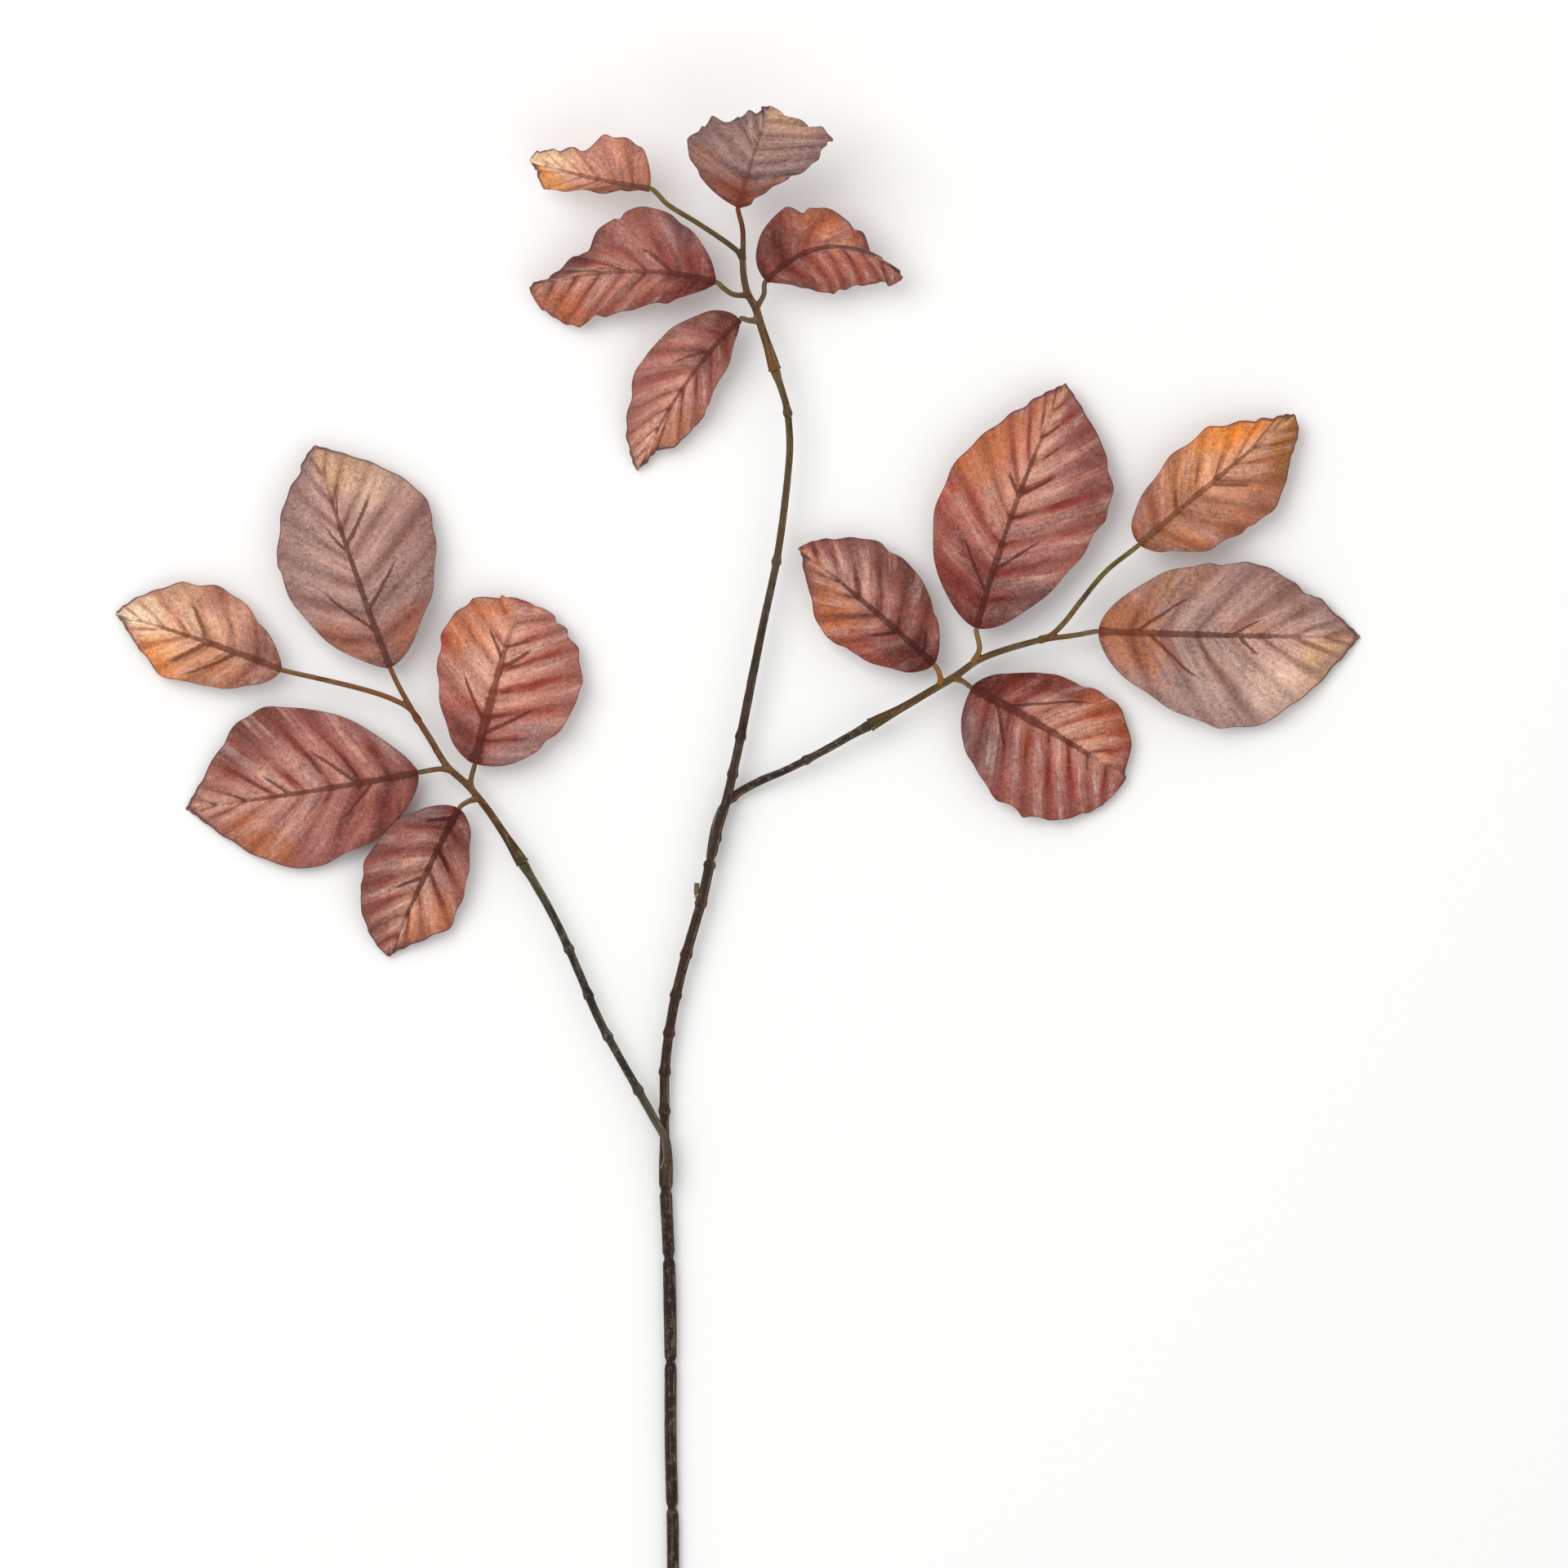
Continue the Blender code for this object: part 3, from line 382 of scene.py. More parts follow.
leaves = {
    "leaf_left_1": {
        "base": (-121.1, 386.0, 13.0), "tip": (-153.3, 481.0, 7.0), "arch": 5.0, "bow": 1.0,
        "left": (30.5, 0.49, 0.70, 0.80), "right": (38.5, 0.60, 0.60, 0.95),
        "lift": ((-1.5, -2.0), (-1.0, -3.5)), "veins": 8, "ruffle": (0.7, 3.4, 0.1),
        "cloth": (168, 135, 130), "stripe": (130, 85, 75), "stripes": (0.50, 0.50),
        "tints": [((222, 188, 166), 0.78, -0.75, 0.18, 0.42, 0.9),
                  ((204, 164, 124), 0.92, -0.2, 0.15, 0.8, 0.9),
                  ((150, 112, 106), 0.55, -0.9, 0.16, 0.35, 0.7),
                  ((186, 116, 88), 0.10, -0.6, 0.13, 0.6, 0.8),
                  ((180, 118, 92), 0.12, 0.6, 0.18, 0.7, 0.85),
                  ((176, 144, 140), 0.70, 0.5, 0.26, 0.5, 0.8)],
        "sideRibs": [(-1, 0.27, 0.33, 0.46), (1, 0.18, 0.30, 0.52), (1, 0.53, 0.58, 0.32),
                     (-1, 0.56, 0.57, 0.66), (-1, 0.69, 0.76, 0.26)],
        "rib": ((80, 50, 44), (88, 58, 50), 1.0, 0.9),
        "shadow": (0.42, 0.42), "light": (0.16, 0.20),
        "edges": [(1, 0.905, -1.4, 0.03), (1, 0.56, 0.7, 0.02), (-1, 0.55, 0.9, 0.035),
                  (-1, 0.17, -0.8, 0.05)],
    },
    "leaf_left_2": {
        "base": (-167.9, 385.0, 11.6), "tip": (-238.8, 409.0, 2.0), "arch": 3.5, "bow": -1.0,
        "left": (19.5, 0.58, 0.50, 1.15), "right": (23.5, 0.50, 0.70, 0.75),
        "lift": ((-1.0, -1.5), (1.0, -2.5)), "veins": 7, "ruffle": (0.8, 3.0, 0.4),
        "cloth": (212, 158, 132), "stripe": (176, 98, 68), "stripes": (0.65, 0.55),
        "tints": [((240, 176, 118), 0.72, 0.35, 0.20, 0.5, 0.9),
                  ((240, 150, 80), 0.72, 0.95, 0.24, 0.28, 0.9),
                  ((226, 180, 146), 0.70, -0.4, 0.26, 0.6, 0.9),
                  ((190, 128, 92), 0.36, 0.6, 0.20, 0.6, 0.8),
                  ((168, 120, 108), 0.10, -0.1, 0.20, 1.1, 0.9),
                  ((160, 104, 92), 0.46, -0.85, 0.11, 0.4, 0.8),
                  ((255, 234, 204), 0.98, 0.0, 0.24, 1.0, 1.0)],
        "sideRibs": [(-1, 0.46, 0.44, 0.66), (1, 0.28, 0.33, 0.84), (1, 0.46, 0.44, 0.78)],
        "rib": ((96, 52, 40), (104, 62, 40), 1.0, 0.85),
        "shadow": (0.30, 0.42), "light": (0.34, 0.34),
        "edges": [(1, 0.455, -0.9, 0.05), (1, 0.59, 0.9, 0.06), (1, 0.835, -0.8, 0.02),
                  (-1, 0.22, -1.4, 0.05), (-1, 0.36, 0.5, 0.05)],
    },
    "leaf_left_3": {
        "base": (-84.7, 344.8, 12.0), "tip": (-65.4, 415.0, 8.0), "arch": 4.5, "bow": 0.6,
        "left": (27.0, 0.67, 0.55, 0.35), "right": (35.5, 0.56, 0.42, 0.38),
        "lift": ((-1.0, -1.5), (-1.0, -3.0)), "veins": 7, "ruffle": (0.9, 4.0, 0.2),
        "cloth": (184, 122, 108), "stripe": (165, 75, 60), "stripes": (0.6, 1.0),
        "tints": [((214, 134, 92), 0.80, 0.6, 0.24, 0.6, 0.85),
                  ((180, 120, 108), 0.80, -0.6, 0.28, 0.6, 0.7),
                  ((164, 96, 86), 0.15, 0.6, 0.22, 0.7, 0.9),
                  ((178, 140, 138), 0.12, -0.75, 0.20, 0.5, 0.9),
                  ((216, 160, 140), 0.50, 0.3, 0.14, 0.3, 0.7),
                  ((190, 80, 65), 0.62, 0.97, 0.08, 0.15, 0.8)],
        "sideRibs": [(1, 0.26, 0.38, 0.54), (1, 0.65, 0.70, 0.44), (-1, 0.19, 0.30, 0.54),
                     (-1, 0.59, 0.64, 0.46)],
        "rib": ((84, 38, 30), (118, 56, 34), 1.6, 0.95),
        "shadow": (0.58, 0.40), "light": (0.55, 0.45),
        "edges": [(1, 0.20, -1.0, 0.08), (1, 0.66, 0.9, 0.04), (1, 0.93, 0.8, 0.02),
                  (1, 0.972, -5.0, 0.014), (-1, 0.23, -1.9, 0.045), (-1, 0.63, 0.8, 0.04),
                  (-1, 0.87, -2.1, 0.025), (-1, 0.98, 2.0, 0.015)],
        "swings": [(1, 0.9965, -1.0, 0.002), (-1, 0.996, -0.6, 0.002), (-1, 0.955, -1.5, 0.02)],
    },
    "leaf_left_4": {
        "base": (-109.2, 340.9, 12.0), "tip": (-208.6, 325.4, 0.75), "arch": 5.5, "bow": 0.8,
        "left": (31.5, 0.52, 0.53, 1.05), "right": (38.0, 0.59, 0.70, 1.00),
        "lift": ((-3.5, -2.5), (-1.0, -3.0)), "veins": 8, "ruffle": (0.7, 3.0, 0.0),
        "cloth": (168, 110, 102), "stripe": (140, 65, 60), "stripes": (0.55, 1.00),
        "tints": [((176, 118, 110), 0.50, -0.35, 0.30, 0.4, 0.8),
                  ((200, 126, 82), 0.70, 0.8, 0.15, 0.4, 0.75),
                  ((196, 148, 126), 0.95, 0.1, 0.16, 1.0, 0.9),
                  ((154, 88, 78), 0.20, 0.6, 0.20, 0.6, 0.8),
                  ((166, 136, 134), 0.12, -0.8, 0.14, 0.4, 0.85),
                  ((132, 80, 72), 0.60, -0.9, 0.22, 0.34, 0.8)],
        "sideRibs": [(-1, 0.27, 0.35, 0.44), (-1, 0.56, 0.57, 0.38), (1, 0.20, 0.28, 0.44)],
        "rib": ((80, 34, 32), (108, 62, 46), 1.0, 0.9),
        "shadow": (0.74, 0.52), "light": (0.36, 0.26),
        "edges": [(1, 0.55, 0.8, 0.06), (-1, 0.73, 1.1, 0.05), (-1, 0.80, -0.9, 0.015),
                  (-1, 0.92, -0.8, 0.02)],
    },
    "leaf_left_5": {
        "base": (-91.7, 325.4, 12.0), "tip": (-121.6, 262.2, 3.0), "arch": 4.0, "bow": -0.8,
        "left": (19.0, 0.60, 0.55, 1.20), "right": (25.5, 0.50, 0.52, 0.60),
        "lift": ((-1.5, -2.0), (0.5, -0.5)), "veins": 7, "ruffle": (0.7, 3.4, 0.3),
        "cloth": (160, 105, 93), "stripe": (140, 70, 62), "stripes": (0.9, 0.8),
        "tints": [((206, 132, 90), 0.70, 0.6, 0.20, 0.5, 0.75),
                  ((136, 86, 78), 0.60, -0.85, 0.30, 0.4, 0.85),
                  ((150, 122, 120), 0.12, -0.8, 0.14, 0.4, 0.8),
                  ((144, 88, 80), 0.08, 0.3, 0.18, 0.7, 0.8),
                  ((150, 102, 86), 0.94, 0.1, 0.12, 0.7, 0.8)],
        "sideRibs": [(-1, 0.07, 0.12, 0.48), (-1, 0.48, 0.50, 0.46), (1, 0.29, 0.30, 0.46)],
        "rib": ((62, 26, 26), (80, 42, 36), 1.1, 0.95),
        "shadow": (0.60, 0.48), "light": (0.36, 0.34),
        "edges": [(1, 0.72, 0.8, 0.04), (-1, 0.14, -0.9, 0.04), (-1, 0.56, 0.9, 0.05),
                  (-1, 0.71, -0.7, 0.03)],
    },
    "leaf_right_1": {
        "base": (111.7, 387.4, 13.0), "tip": (54.0, 437.0, 8.0), "arch": 4.0, "bow": -0.6,
        "left": (21.0, 0.55, 0.50, 1.25), "right": (25.0, 0.54, 0.60, 0.70),
        "lift": ((-1.0, -2.0), (-1.0, -2.5)), "veins": 7, "ruffle": (0.7, 3.2, 0.0),
        "cloth": (152, 92, 82), "stripe": (115, 65, 60), "stripes": (0.7, 1.0),
        "tints": [((196, 118, 76), 0.62, 0.7, 0.20, 0.45, 0.85),
                  ((165, 84, 72), 0.34, 0.8, 0.16, 0.35, 0.7),
                  ((152, 106, 102), 0.62, -0.6, 0.25, 0.6, 0.8),
                  ((196, 142, 116), 0.93, 0.2, 0.15, 0.7, 0.9),
                  ((106, 60, 52), 0.42, -0.8, 0.20, 0.4, 0.85),
                  ((140, 82, 72), 0.08, 0.0, 0.18, 1.2, 0.8)],
        "sideRibs": [(1, 0.28, 0.30, 0.42), (-1, 0.09, 0.12, 0.50)],
        "rib": ((60, 28, 26), (80, 46, 38), 1.0, 0.9),
        "shadow": (0.80, 0.72), "light": (0.30, 0.34),
        "edges": [(1, 0.44, -0.7, 0.03), (1, 0.57, 0.6, 0.04), (1, 0.83, -0.7, 0.03),
                  (-1, 0.20, -1.0, 0.04), (-1, 0.38, 0.6, 0.06), (-1, 0.60, -0.9, 0.04),
                  (-1, 0.80, 0.6, 0.06)],
    },
    "leaf_right_2": {
        "base": (130.0, 402.9, 13.6), "tip": (168.2, 507.4, 8.0), "arch": 6.0, "bow": 2.4,
        "left": (32.0, 0.43, 0.60, 0.95), "right": (37.5, 0.63, 0.55, 0.90),
        "lift": ((-1.0, -3.0), (-1.0, -3.5)), "veins": 9, "ruffle": (0.6, 3.0, 0.2),
        "cloth": (175, 110, 100), "stripe": (150, 65, 60), "stripes": (0.7, 1.0),
        "tints": [((196, 130, 100), 0.70, 0.5, 0.30, 0.7, 0.8),
                  ((200, 120, 76), 0.68, 0.85, 0.20, 0.35, 0.8),
                  ((190, 80, 64), 0.45, 0.95, 0.08, 0.18, 0.7),
                  ((160, 84, 74), 0.15, 0.7, 0.18, 0.6, 0.8),
                  ((166, 112, 104), 0.45, -0.4, 0.35, 0.4, 0.8),
                  ((140, 88, 78), 0.72, -0.9, 0.25, 0.35, 0.8),
                  ((142, 112, 110), 0.12, -0.8, 0.14, 0.4, 0.8),
                  ((200, 144, 114), 0.94, 0.15, 0.12, 0.6, 0.9)],
        "sideRibs": [(1, 0.15, 0.24, 0.50), (1, 0.54, 0.51, 0.40), (-1, 0.24, 0.32, 0.42),
                     (-1, 0.54, 0.56, 0.42)],
        "rib": ((80, 32, 28), (98, 54, 42), 1.0, 0.9),
        "shadow": (0.76, 0.66), "light": (0.34, 0.34),
        "edges": [(1, 0.86, -0.9, 0.03), (1, 0.77, -0.5, 0.05), (-1, 0.56, 1.1, 0.035),
                  (-1, 0.75, -1.0, 0.03), (-1, 0.86, 1.1, 0.025)],
    },
    "leaf_right_3": {
        "base": (199.9, 438.6, 14.4), "tip": (266.2, 494.2, 7.0), "arch": 4.0, "bow": 0.4,
        "left": (19.5, 0.52, 0.35, 1.20), "right": (25.5, 0.52, 0.60, 0.75),
        "lift": ((-0.5, -2.0), (-1.0, -2.0)), "veins": 8, "ruffle": (0.9, 3.6, 0.5),
        "cloth": (202, 140, 104), "stripe": (165, 95, 60), "stripes": (0.75, 0.60),
        "tints": [((224, 158, 104), 0.60, 0.4, 0.26, 0.5, 0.85),
                  ((252, 154, 66), 0.72, 0.90, 0.22, 0.38, 1.0),
                  ((194, 144, 86), 0.95, 0.3, 0.14, 0.7, 0.9),
                  ((186, 128, 100), 0.50, -0.4, 0.30, 0.4, 0.8),
                  ((160, 98, 80), 0.50, -0.9, 0.30, 0.3, 0.8),
                  ((162, 108, 52), 0.90, -0.8, 0.16, 0.5, 0.9),
                  ((186, 128, 106), 0.10, 0.6, 0.18, 0.8, 0.8)],
        "sideRibs": [(-1, 0.47, 0.48, 0.56)],
        "rib": ((104, 66, 38), (110, 72, 42), 1.0, 0.8),
        "shadow": (0.36, 0.55), "light": (0.40, 0.26),
        "edges": [(1, 0.37, 0.8, 0.07), (1, 0.64, 1.2, 0.04), (1, 0.83, -1.0, 0.02),
                  (1, 0.96, 1.2, 0.03), (-1, 0.10, -1.0, 0.03), (-1, 0.24, 0.7, 0.06),
                  (-1, 0.46, -1.5, 0.03), (-1, 0.64, 1.1, 0.08), (-1, 0.86, -1.4, 0.025),
                  (-1, 0.965, 1.6, 0.03)],
    },
    "leaf_right_4": {
        "base": (182.4, 401.4, 13.0), "tip": (294.3, 399.0, 0.75), "arch": 6.5, "bow": -0.6,
        "left": (31.0, 0.50, 0.55, 0.90), "right": (39.0, 0.55, 0.55, 1.00),
        "lift": ((-1.0, -2.0), (-1.5, -3.5)), "veins": 8, "ruffle": (0.8, 3.4, 0.1),
        "cloth": (182, 152, 146), "stripe": (135, 90, 80), "stripes": (0.50, 0.60),
        "tints": [((168, 134, 126), 0.50, 0.6, 0.35, 0.6, 0.7),
                  ((206, 130, 84), 0.09, 0.1, 0.18, 1.0, 0.9),
                  ((190, 142, 110), 0.30, 0.8, 0.14, 0.35, 0.7),
                  ((238, 204, 184), 0.74, -0.75, 0.17, 0.42, 0.9),
                  ((210, 170, 126), 0.88, -0.5, 0.12, 0.6, 0.9),
                  ((150, 112, 104), 0.72, 0.85, 0.10, 0.3, 0.7),
                  ((165, 94, 70), 0.58, 0.12, 0.10, 0.2, 0.6),
                  ((158, 116, 102), 0.97, 0.2, 0.10, 1.0, 0.9)],
        "sideRibs": [(1, 0.15, 0.26, 0.52), (1, 0.52, 0.54, 0.38), (-1, 0.20, 0.30, 0.48),
                     (-1, 0.54, 0.54, 0.32)],
        "rib": ((118, 58, 36), (78, 58, 46), 1.1, 0.9),
        "shadow": (0.36, 0.42), "light": (0.34, 0.40),
        "edges": [(1, 0.28, 1.1, 0.07), (1, 0.46, -1.5, 0.03), (1, 0.56, 1.6, 0.04),
                  (1, 0.66, 1.3, 0.05), (1, 0.785, -1.9, 0.02), (1, 0.85, 0.9, 0.015),
                  (-1, 0.20, -2.0, 0.07), (-1, 0.47, 1.3, 0.04), (-1, 0.74, -1.5, 0.04),
                  (-1, 0.89, -0.8, 0.03)],
    },
    "leaf_right_5": {
        "base": (128.1, 377.2, 12.4), "tip": (194.0, 338.4, 4.0), "arch": 4.5, "bow": 1.0,
        "left": (25.5, 0.70, 0.58, 0.85), "right": (36.5, 0.55, 0.38, 0.38),
        "lift": ((-1.0, -2.0), (-1.0, -3.0)), "veins": 8, "ruffle": (0.8, 4.0, 0.3),
        "cloth": (164, 98, 88), "stripe": (150, 60, 50), "stripes": (0.7, 1.0),
        "tints": [((198, 116, 78), 0.74, 0.6, 0.20, 0.5, 0.85),
                  ((168, 88, 50), 0.86, 0.97, 0.14, 0.16, 0.8),
                  ((114, 50, 38), 0.24, 0.75, 0.28, 0.5, 0.9),
                  ((206, 146, 126), 0.50, 0.3, 0.14, 0.3, 0.7),
                  ((150, 118, 116), 0.13, -0.75, 0.20, 0.5, 0.95),
                  ((156, 98, 82), 0.94, 0.1, 0.10, 0.8, 0.8)],
        "sideRibs": [(-1, 0.17, 0.26, 0.44), (1, 0.24, 0.44, 0.82)],
        "rib": ((72, 34, 28), (94, 44, 34), 1.5, 0.9),
        "shadow": (0.92, 0.60), "light": (0.52, 0.24),
        "edges": [(1, 0.38, 0.8, 0.05), (1, 0.53, -0.9, 0.04), (1, 0.76, -0.8, 0.03),
                  (1, 0.91, 2.3, 0.035), (1, 0.975, -2.6, 0.016), (-1, 0.21, -1.1, 0.05),
                  (-1, 0.44, 0.9, 0.05), (-1, 0.62, 1.0, 0.02), (-1, 0.88, -1.3, 0.04)],
    },
    "leaf_top_1": {
        "base": (-9.8, 590.8, 26.4), "tip": (-61.2, 602.6, 21.0), "arch": 5.0, "bow": 1.2,
        "left": (8.5, 0.82, 1.00, 1.60), "right": (20.0, 0.35, 0.40, 0.80, (0.60, -6.5, 0.15)),
        "lift": ((-12.0, 0.0), (4.0, -3.0)), "veins": 7, "ruffle": (0.9, 3.6, 0.2),
        "cloth": (204, 140, 116), "stripe": (160, 100, 85), "stripes": (0.40, 0.45),
        "tints": [((246, 212, 172), 0.88, -0.2, 0.28, 0.9, 1.0),
                  ((244, 168, 98), 0.80, 0.8, 0.24, 0.6, 0.95),
                  ((216, 152, 134), 0.42, -0.7, 0.20, 0.5, 0.9),
                  ((158, 92, 62), 0.30, 0.75, 0.28, 0.55, 0.95)],
        "sideRibs": [],
        "rib": ((98, 52, 38), (112, 66, 44), 0.7, 0.7),
        "shadow": (0.66, 0.34), "light": (0.42, 0.36),
        "edges": [(1, 0.25, -1.1, 0.05), (1, 0.50, -1.2, 0.12), (1, 0.77, 0.7, 0.05),
                  (1, 0.92, -1.9, 0.012), (-1, 0.10, 2.1, 0.05), (-1, 0.46, 1.2, 0.05),
                  (-1, 0.80, -2.2, 0.05), (-1, 0.97, 2.2, 0.03)],
    },
    "leaf_top_2": {
        "base": (27.9, 582.8, 24.0), "tip": (41.8, 625.2, 50.0), "arch": 8.0, "bow": 0.4,
        "left": (28.5, 0.45, 0.67, 1.20), "right": (29.5, 0.90, 1.05, 0.60),
        "lift": ((4.0, -2.0), (4.0, -2.0)), "veins": 7, "ruffle": (1.4, 4.0, 0.1),
        "cloth": (152, 127, 124), "stripe": (120, 100, 100), "stripes": (0.35, 0.35),
        "tints": [((196, 158, 126), 0.95, -0.3, 0.18, 0.6, 0.85),
                  ((186, 96, 60), 0.05, 0.0, 0.21, 1.2, 0.95),
                  ((170, 124, 108), 0.30, 0.75, 0.16, 0.4, 0.75),
                  ((150, 96, 78), 0.28, -0.85, 0.14, 0.4, 0.8),
                  ((160, 126, 118), 0.62, 0.0, 0.18, 1.0, 0.6)],
        "sideRibs": [],
        "rib": ((118, 56, 42), (96, 76, 68), 0.7, 0.6),
        "shadow": (0.62, 0.68), "light": (0.10, 0.12),
        "edges": [(1, 0.23, -1.5, 0.04), (1, 0.56, -1.4, 0.03), (1, 0.72, 2.2, 0.035),
                  (1, 0.80, -1.6, 0.03), (1, 0.89, 1.8, 0.02), (1, 0.97, 1.6, 0.02),
                  (-1, 0.05, 2.4, 0.05), (-1, 0.28, -1.9, 0.06), (-1, 0.43, -1.5, 0.03),
                  (-1, 0.80, -1.8, 0.12), (-1, 0.915, 1.2, 0.02)],
        "swings": [(1, 0.50, -1.2, 0.05), (1, 0.65, -1.8, 0.025), (1, 0.71, 0.8, 0.02),
                   (1, 0.77, -2.4, 0.03), (1, 0.84, -1.8, 0.02), (1, 0.925, -1.8, 0.015),
                   (-1, 0.991, -2.2, 0.005), (-1, 0.966, -1.8, 0.008), (-1, 0.947, 1.6, 0.010),
                   (-1, 0.90, -0.8, 0.02)],
    },
    "leaf_top_3": {
        "base": (39.9, 551.4, 20.6), "tip": (98.2, 552.4, 16.0), "arch": 5.0, "bow": 14.0,
        "left": (20.5, 0.29, 0.50, 2.70), "right": (20.0, 0.42, 0.80, 0.60),
        "lift": ((3.0, -2.0), (-9.0, 0.0)), "veins": 7, "ruffle": (1.1, 3.8, 0.3),
        "cloth": (168, 98, 84), "stripe": (160, 80, 70), "stripes": (0.60, 0.80),
        "tints": [((196, 118, 80), 0.48, 0.7, 0.16, 0.5, 0.8),
                  ((160, 96, 86), 0.10, 0.6, 0.18, 0.6, 0.8),
                  ((128, 98, 98), 0.10, -0.85, 0.16, 0.4, 0.85),
                  ((150, 102, 92), 0.95, 0.0, 0.15, 1.0, 0.9),
                  ((176, 124, 108), 0.72, 0.3, 0.12, 0.4, 0.8)],
        "sideRibs": [],
        "rib": ((76, 38, 32), (92, 50, 40), 0.8, 0.85),
        "shadow": (0.82, 0.62), "light": (0.28, 0.10),
        "edges": [(1, 0.20, -0.9, 0.05), (1, 0.29, 0.9, 0.02), (1, 0.355, -3.2, 0.025),
                  (1, 0.42, -1.2, 0.04), (1, 0.62, -1.2, 0.02), (1, 0.68, 0.9, 0.025),
                  (1, 0.78, -2.0, 0.04), (1, 0.95, 2.0, 0.03), (-1, 0.14, 1.3, 0.04),
                  (-1, 0.29, -0.8, 0.05), (-1, 0.92, -1.8, 0.02), (-1, 0.98, 2.1, 0.02)],
    },
    "leaf_top_4": {
        "base": (18.2, 550.9, 20.2), "tip": (-61.2, 547.8, 9.0), "arch": 6.0, "bow": -6.0,
        "left": (19.5, 0.82, 0.62, 0.60), "right": (27.0, 0.38, 0.70, 2.20),
        "lift": ((-7.0, 0.0), (2.0, -3.0)), "veins": 8, "ruffle": (1.1, 3.6, 0.2),
        "cloth": (166, 108, 98), "stripe": (165, 75, 75), "stripes": (0.70, 0.60),
        "tints": [((186, 106, 62), 0.87, 0.75, 0.18, 0.5, 0.85),
                  ((166, 104, 88), 0.45, 0.6, 0.26, 0.6, 0.7),
                  ((132, 108, 112), 0.12, -0.85, 0.18, 0.4, 0.85),
                  ((112, 70, 62), 0.71, -0.8, 0.12, 0.36, 0.95),
                  ((154, 108, 92), 0.94, -0.4, 0.12, 0.6, 0.85),
                  ((112, 56, 50), 0.24, 0.8, 0.16, 0.4, 0.85),
                  ((148, 80, 70), 0.08, 0.0, 0.18, 1.2, 0.8)],
        "sideRibs": [(-1, 0.25, 0.32, 0.45), (-1, 0.52, 0.56, 0.40)],
        "rib": ((74, 36, 34), (104, 66, 56), 0.8, 0.7),
        "shadow": (0.86, 0.55), "light": (0.30, 0.30),
        "edges": [(1, 0.24, 1.0, 0.035), (1, 0.67, -1.6, 0.035), (1, 0.79, 1.5, 0.03),
                  (1, 0.98, 2.0, 0.02), (-1, 0.22, -1.5, 0.04), (-1, 0.39, 0.6, 0.05),
                  (-1, 0.50, -1.8, 0.015), (-1, 0.66, -4.0, 0.03), (-1, 0.71, -1.8, 0.03),
                  (-1, 0.965, 2.0, 0.035)],
    },
    "leaf_top_5": {
        "base": (28.4, 534.8, 17.2), "tip": (-15.3, 470.4, 3.0), "arch": 5.0, "bow": -3.6,
        "left": (14.0, 0.62, 0.70, 1.60), "right": (20.5, 0.44, 0.43, 0.75),
        "lift": ((-4.0, 0.0), (0.0, -3.0)), "veins": 8, "ruffle": (0.9, 3.6, 0.1),
        "cloth": (174, 116, 106), "stripe": (155, 80, 72), "stripes": (0.75, 0.60),
        "tints": [((188, 126, 92), 0.70, 0.7, 0.18, 0.5, 0.75),
                  ((224, 170, 142), 0.92, -0.15, 0.18, 0.8, 0.9),
                  ((138, 84, 72), 0.08, 0.0, 0.18, 1.2, 0.85)],
        "sideRibs": [(-1, 0.25, 0.32, 0.45)],
        "rib": ((74, 38, 36), (92, 52, 44), 0.65, 0.75),
        "shadow": (0.70, 0.60), "light": (0.28, 0.40),
        "edges": [(1, 0.42, -1.2, 0.06), (1, 0.55, 0.7, 0.03), (1, 0.64, -0.9, 0.03),
                  (1, 0.74, -0.6, 0.02), (1, 0.80, 1.3, 0.02), (1, 0.86, -1.5, 0.02),
                  (1, 0.95, 1.0, 0.02), (-1, 0.54, 1.2, 0.05), (-1, 0.66, -0.9, 0.04)],
    },
}


def ribPoints(leaf, s):
    base, tip = np.array(leaf["base"]), np.array(leaf["tip"])
    chord = tip - base
    aside = np.array((-chord[1], chord[0], 0.0)) / math.hypot(chord[0], chord[1])
    rise = (4 * s * (1 - s))[..., None]
    return base + chord * s[..., None] + (aside * leaf["bow"] + up * leaf["arch"]) * rise


def halfWidths(side, e):
    width, widest, rise, fall = side[:4]
    growing = np.sin(np.pi / 2 * np.clip(e / widest, 0, 1)) ** rise
    closing = np.cos(np.pi / 2 * np.clip((e - widest) / (1 - widest), 0, 0.99999)) ** fall
    reach = width * np.where(e < widest, growing, closing)
    for where, out, length in side[4:]:
        reach = reach + out * hump(e, where, length)
    return np.maximum(reach, 0.0)


def fromBaseToTip(key, a):
    start, end = leafForm[key + "AtBase"], leafForm[key + "AtTip"]
    return start + (end - start) * a


def edgeHumps(leaf, key, hand, e):
    return sum((size * hump(e, where, length) for side, where, size, length in leaf.get(key, ())
                if side == hand), 0 * e)


def fading(a):
    # 1 half-way along the leaf, and 0 at its base and tip.
    return np.sqrt(np.clip(np.sin(np.pi * a), 0, 1))


def pleats(leaf, a, share, hand, folds):
    # Sharp valleys and round ridges along the side veins, flat at the rib, the base and the tip.
    turns = math.tau * leaf["veins"] * a
    crisp = leafForm["crispness"]
    shape = crisp * (2 * np.abs(np.sin(turns / 2)) - 1) - (1 - crisp) * np.cos(turns)
    height = leafForm["pleat"] * shape * folds["depth"](a, share, hand) * fading(a)
    return height * np.minimum(1.0, leafForm["pleatStart"] * share) * (
        1 - leafForm["pleatFade"] * share)


